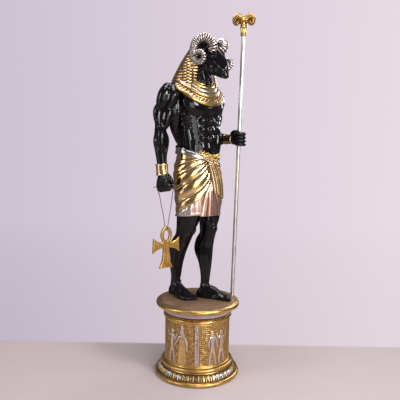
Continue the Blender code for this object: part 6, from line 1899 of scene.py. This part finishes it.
def garland_level(u):
    return 95.2 + (2.9 if u < GARLAND_MIDDLE else 0.7) * abs((u - GARLAND_MIDDLE) / 7.2) ** 1.4


clay.rope([(u, on_belt(u, 0.2), garland_level(u) - 0.2)
           for u in (-9.2, -6.8, -4.4, -2.2, 0.2, 2.6, 5.0, 7.0)],
          [0.5, 0.9, 1.2, 1.3, 1.3, 1.2, 0.9, 0.5], 0.2)
pick = np.random.default_rng(23)
for i in range(13):
    u = -9.4 + 1.36 * i
    for high, size in ((1.15, 1.25), (-1.1, 1.15)):
        if i in (0, 12) and high < 0:
            continue
        u1 = u + (0.6 if high < 0 else 0.0)
        spot = (u1, on_belt(u1, 1.35 - 0.035 * (u1 - GARLAND_MIDDLE) ** 2 * 0.6), garland_level(u1) + high)
        clay.ball((spot[0], spot[1] - 0.25, spot[2]), (0.36, 0.45, 0.36), 0.10)
        swirl = pick.random() * 1.2
        for petal in range(5):
            a = petal * math.tau / 5 + swirl
            clay.ball((spot[0] + size * 0.62 * math.cos(a), spot[1] + 0.15,
                       spot[2] + size * 0.62 * math.sin(a)),
                      (0.50, 0.50, 0.31), 0.06, roll=-math.degrees(a))
    if i % 2:
        top = (u, on_belt(u, 0.9), garland_level(u) + 1.9)
        clay.rope([(top[0] - 0.5, top[1] + 0.2, top[2] - 0.6), top,
                   (top[0] + 0.5, top[1] + 0.1, top[2] + 0.9)],
                  [0.2, 0.45, 0.12], 0.1)
places, quads = clay.cast()
garland = new_piece("garland", on_figure(eased(places, quads, 1)), [quads], collar_gold, True)
feel_hollows(garland, 1.9, 2)
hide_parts("figure")
settle(garland, "gold leaf")
swag = []
for i in range(31):
    f = i / 30 * 2 - 1
    u = GARLAND_MIDDLE + 8.2 * f
    level = 92.3 + (4.6 if f < 0 else 2.4) * abs(f) ** 1.9
    swag.append(tuple(on_figure([(u, on_belt(u, 1.0 + 0.9 * (1 - f * f)), level)])[0]))
cord_tree, net, take = geometry_tree("thin cast cord", [
    ("Radius", "NodeSocketFloat", 0.003), ("Material", "NodeSocketMaterial", None)])
even = net("GeometryNodeResampleCurve", {"mode": "COUNT"}, {"Curve": take["Geometry"], "Count": 180})
factor = net("GeometryNodeSplineParameter").outputs["Factor"]
lay = sum_of(net, "SINE", sum_of(net, "MULTIPLY", factor, 210.0))
size = sum_of(net, "MULTIPLY", take["Radius"], sum_of(net, "MULTIPLY_ADD", lay, 0.14, 0.9))
sized = net("GeometryNodeSetCurveRadius", {}, {"Curve": even.outputs[0], "Radius": size})
close_tube(net, sized.outputs[0], 10, take["Material"])
swag_cord = grown("garland_swag", poly_line("swag", smooth_route(swag, 60)), cord_tree,
                  {"Radius": 0.0042, "Material": belt_silver})
outward(swag_cord)
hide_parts("figure")
settle(swag_cord, "silver leaf")

# Bracelets: plain gilded cuffs with rolled rims, cast on the wrists.
for name, ends in (
        ("right_bracelet", ((-25.8, 9.7, 91.3, 3.8, 4.1), (-25.4, 9.3, 83.9, 3.7, 4.1))),
        ("left_bracelet", ((21.75, -3.6, 108.3, 3.3, 3.4), (21.35, -10.7, 108.2, 3.2, 3.3)))):
    a, b = Vector(ends[0][:3]), Vector(ends[1][:3])
    run = (b - a).normalized()
    first = Vector((1, 0, 0))
    first = (first - run * first.dot(run)).normalized()
    second = run.cross(first)
    rings, proud = [], []
    for f, grow in ((0.0, -0.75), (0.0, -0.25), (0.012, 0.02), (0.05, 0.16), (0.09, 0.08), (0.12, -0.10),
                    (0.16, -0.14), (0.3, -0.18), (0.5, -0.20), (0.7, -0.18), (0.84, -0.14), (0.88, -0.10),
                    (0.91, 0.08), (0.95, 0.16), (0.988, 0.02), (1.0, -0.25), (1.0, -0.75)):
        c = a.lerp(b, f)
        ra = ends[0][3] + (ends[1][3] - ends[0][3]) * f + grow + 0.05
        rb = ends[0][4] + (ends[1][4] - ends[0][4]) * f + grow + 0.05
        rings.append([tuple(c + first * ra * math.cos(t) + second * rb * math.sin(t))
                      for t in (2 * math.pi * i / 96 for i in range(96))])
        proud.append([0.35 - grow * 1.6] * 96)
    cuff = skin(name, on_figure(np.array(rings)), kilt_gold, True, {"hollow": np.array(proud) * 0.6,
                                                                    "silver": np.zeros((17, 96))})
    outward(cuff)
    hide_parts("figure")
    settle(cuff, "gold leaf")

# Rod: a straight wooden dowel under burnished silver leaf, standing on the slab and leaning a little
# with the hand that holds it. Faint turns of the leaf show along it.
ROD_DIAMETER = 0.025
ROD_LENGTH = 1.785
SOCKET_DEPTH = 0.030
rod_foot = Vector((19.6 * U, -14.2 * U, SOLE))
rod_side = Vector((1, 0, 0))
rod_side = (rod_side - rod_run * rod_side.dot(rod_run)).normalized()
rod_up = rod_run.cross(rod_side)
rod_silver = leafed("rod silver", (0.86, 0.84, 0.83), (0.68, 0.63, 0.62), wash=(0.25, 0.18, 0.15),
                    grain=20.0, reach=0.40, polish=0.34, dent=0.10)
rings, proud = [], []
lift = ROD_DIAMETER / 2 * math.hypot(rod_run.x, rod_run.y) + 0.0001
for i in range(241):
    f = i / 240
    along = lift + (ROD_LENGTH - lift) * f
    r = ROD_DIAMETER / 2 - 0.0002 * (0.5 + 0.5 * math.sin(f * 260.0)) - (0.0016 if i in (0, 240) else 0.0)
    rings.append([tuple(rod_foot + rod_run * along + (rod_side * math.cos(t) + rod_up * math.sin(t)) * r)
                  for t in (2 * math.pi * k / 40 for k in range(40))])
    proud.append([0.15 + 0.12 * math.sin(f * 260.0) + (0.5 if f < 0.012 else 0.0)] * 40)
rod = skin("staff_shaft", rings, rod_silver, True,
           {"hollow": np.array(proud), "silver": np.zeros((241, 40))})
outward(rod)
settle(rod, "silver leaf", "staff_rod")

# Finial: a small cast ram's head with closely ribbed curled horns, on a grooved socket pushed over the
# rod's end. Gold leaf, brown in the grooves, a dark ring at the foot of the socket.
F = 0.148 / 14.8
seat = rod_foot + rod_run * (ROD_LENGTH - SOCKET_DEPTH)
face_side, face_back = turned(-56.0)


def on_finial(places):
    """Across the small head, away from its face, and up along the rod, as places in metres."""
    p = np.asarray(places, dtype=np.float64) * F
    axes = np.array([face_side, face_back, rod_run])
    return p @ axes + np.array(seat)


finial_leaf = leafed("finial leaf", (0.86, 0.54, 0.14), (0.62, 0.33, 0.07), wash=(0.12, 0.035, 0.012),
                     grain=45.0, reach=0.78, polish=0.17)
clay = Clay((-3.8, -5.2, -0.3), (3.8, 4.4, 13.4), 0.15)
wall = 0.0128 / F
clay.level_skin([(0, 0, 0.0, wall + 0.50, wall + 0.50), (0, 0, 1.0, wall + 0.42, wall + 0.42),
                 (0, 0, 3.0, wall + 0.62, wall + 0.62), (0, 0, 5.0, wall + 0.95, wall + 0.95),
                 (0, 0, 6.6, wall + 1.0, wall + 1.0)], 0.0, 0.2)
for z in (0.35, 1.5, 2.0):
    ring_points = [((wall + 0.52) * math.cos(a), (wall + 0.52) * math.sin(a), z)
                   for a in (2 * math.pi * i / 24 for i in range(25))]
    clay.rope(ring_points, [0.22] * 25, 0.12)
for i in range(14):
    a = 2 * math.pi * i / 14
    clay.rope([((wall + 0.62) * math.cos(a), (wall + 0.62) * math.sin(a), 2.4),
               ((wall + 0.95) * math.cos(a), (wall + 0.95) * math.sin(a), 4.6)], [0.16, 0.20], 0.2,
               carve=True)
clay.ball((0, 0.3, 9.6), (2.7, 3.0, 2.7), 0.5)
clay.ball((0, -0.9, 8.2), (2.2, 2.4, 2.4), 0.8)
clay.rope([(0, -1.6, 9.4), (0, -2.6, 7.6), (0, -3.0, 5.9)], [1.7, 1.45, 1.15], 0.6)
clay.rope([(0, -2.6, 10.6), (0, -3.6, 8.8), (0, -3.8, 6.8)], [0.7, 0.62, 0.5], 0.6)
clay.ball((0, -3.0, 5.4), (1.15, 1.1, 0.85), 0.4)
clay.rope([(-1.1, -3.6, 5.35), (0, -4.2, 5.25), (1.1, -3.6, 5.35)], [0.14, 0.16, 0.14], 0.15, carve=True)
for m in (-1, 1):
    clay.ball((1.75 * m, -1.9, 8.9), (0.55, 0.6, 0.5), 0.25)
    clay.rope([(1.0 * m, -2.9, 9.5), (1.9 * m, -2.2, 9.8), (2.4 * m, -1.0, 9.5)], [0.3, 0.38, 0.3], 0.3)
    clay.ball((0.55 * m, -4.0, 6.1), (0.25, 0.3, 0.22), 0.12, carve=True)
    clay.ball((2.75 * m, 0.2, 8.7), (0.75, 0.45, 0.95), 0.3, 0, 0, 30 * m)
places, quads = clay.cast()
finial = new_piece("finial_head", on_finial(eased(places, quads, 1)), [quads], finial_leaf, True)
feel_hollows(finial, 1.0, 2)
settle(finial, "finial gold", "staff_finial")
for side_name, m in (("finial_right_horn", 1.0), ("finial_left_horn", -1.0)):
    route = smooth_route([tuple(p) for p in on_finial([(x * m, -y, z) for x, y, z in (
        (1.5, 0.8, 10.4), (2.6, 0.9, 11.76), (4.1, 0.6, 12.35), (5.5, 0.1, 11.7), (6.0, -0.3, 10.2),
        (5.6, -0.5, 8.8), (4.6, -0.4, 8.2), (3.8, 0.1, 9.0), (4.2, 0.6, 10.0))])], 140)
    horn = grown(side_name, poly_line(side_name, [tuple(p) for p in route]), horn_tree,
                 {"Ribs": 24, "Root radius": 0.0215, "Taper": 0.0095, "Taper from": 0.3,
                  "Taper to": 1.0, "Tip taper": 0.0012, "Groove": 0.20, "Around": 22,
                  "Material": finial_leaf})
    outward(horn)
    settle(horn, "finial gold", "staff_finial")

# Cross with an eye: a flat gilded casting with flared arms and softened edges, hung on the cord. Its
# leaf is a warm orange gold, rubbed paler along the edges.
CROSS_HALF = [
    (0.0, 0.0), (1.3, -0.35), (2.7, -1.6), (3.7, -3.4), (4.05, -5.6), (3.7, -7.8), (2.9, -9.4),
    (2.4, -10.3), (4.4, -10.3), (7.0, -9.2), (9.4, -7.2), (9.7, -12.2), (9.9, -17.2), (7.2, -15.2),
    (4.6, -14.2), (2.3, -13.9), (2.3, -18.0), (3.0, -22.5), (5.0, -27.3), (2.4, -27.0), (0.0, -26.9),
]
CROSS_UNIT = 0.275 / 27.5
CROSS_LIP = 0.45
cross_gold = leafed("cross gold leaf", (0.82, 0.50, 0.13), (0.62, 0.34, 0.08), wash=(0.30, 0.13, 0.04),
                    grain=24.0, reach=0.55, polish=0.26, dent=0.20)
outline = np.array(CROSS_HALF + [(-x, z) for x, z in CROSS_HALF[-2:0:-1]])
clay = Clay((-10.6, -1.3, -28.0), (10.6, 1.3, 0.7), 0.17)
x, z = clay.axes[0][:, None], clay.axes[2][None, :]
near = np.full((len(clay.axes[0]), len(clay.axes[2])), 99.0)
inside = np.zeros(near.shape, dtype=bool)
for (x0, z0), (x1, z1) in zip(outline, np.roll(outline, -1, axis=0)):
    h = np.clip(((x - x0) * (x1 - x0) + (z - z0) * (z1 - z0)) / ((x1 - x0) ** 2 + (z1 - z0) ** 2), 0, 1)
    near = np.minimum(near, np.hypot(x - x0 - h * (x1 - x0), z - z0 - h * (z1 - z0)))
    if z0 != z1:
        crosses = ((z0 > z) != (z1 > z)) & (x < (x1 - x0) * (z - z0) / (z1 - z0) + x0)
        inside ^= crosses
flat = np.where(inside, -near, near)
squeeze = np.where(z > -5.5, 1.0 - 0.2 * np.clip((z + 5.5) / 3.7, 0, 1), 1.0)
k0 = np.sqrt((x / (2.1 * squeeze)) ** 2 + ((z + 5.5) / 3.7) ** 2)
k1 = np.sqrt((x / 4.41) ** 2 + ((z + 5.5) / 13.7) ** 2)
flat = np.maximum(flat, -(k0 * (k0 - 1) / np.maximum(k1, 1e-4)))
half_thick = 0.9 - 0.10 * np.clip((-flat - 1.0) / 1.6, 0, 1)
out2 = flat[:, None, :] + CROSS_LIP
out3 = np.abs(clay.axes[1])[None, :, None] - half_thick[:, None, :] + CROSS_LIP
past_lip = np.hypot(np.maximum(out2, 0), np.maximum(out3, 0))
shape = past_lip + np.minimum(np.maximum(out2, out3), 0) - CROSS_LIP
clay.field = shape.astype(np.float32)
places, quads = clay.cast()
cross_side, cross_back = turned(-13.0)
cross_top = np.array(fig(-24.1, 6.6, 51.2))
axes = np.array([cross_side, cross_back, (0, 0, 1)])
cross = new_piece("cross_with_eye", eased(places, quads, 1) * CROSS_UNIT @ axes + cross_top, [quads],
                  cross_gold, True)
feel_hollows(cross, 1.3, 2)
settle(cross, "cross gold", "ankh")
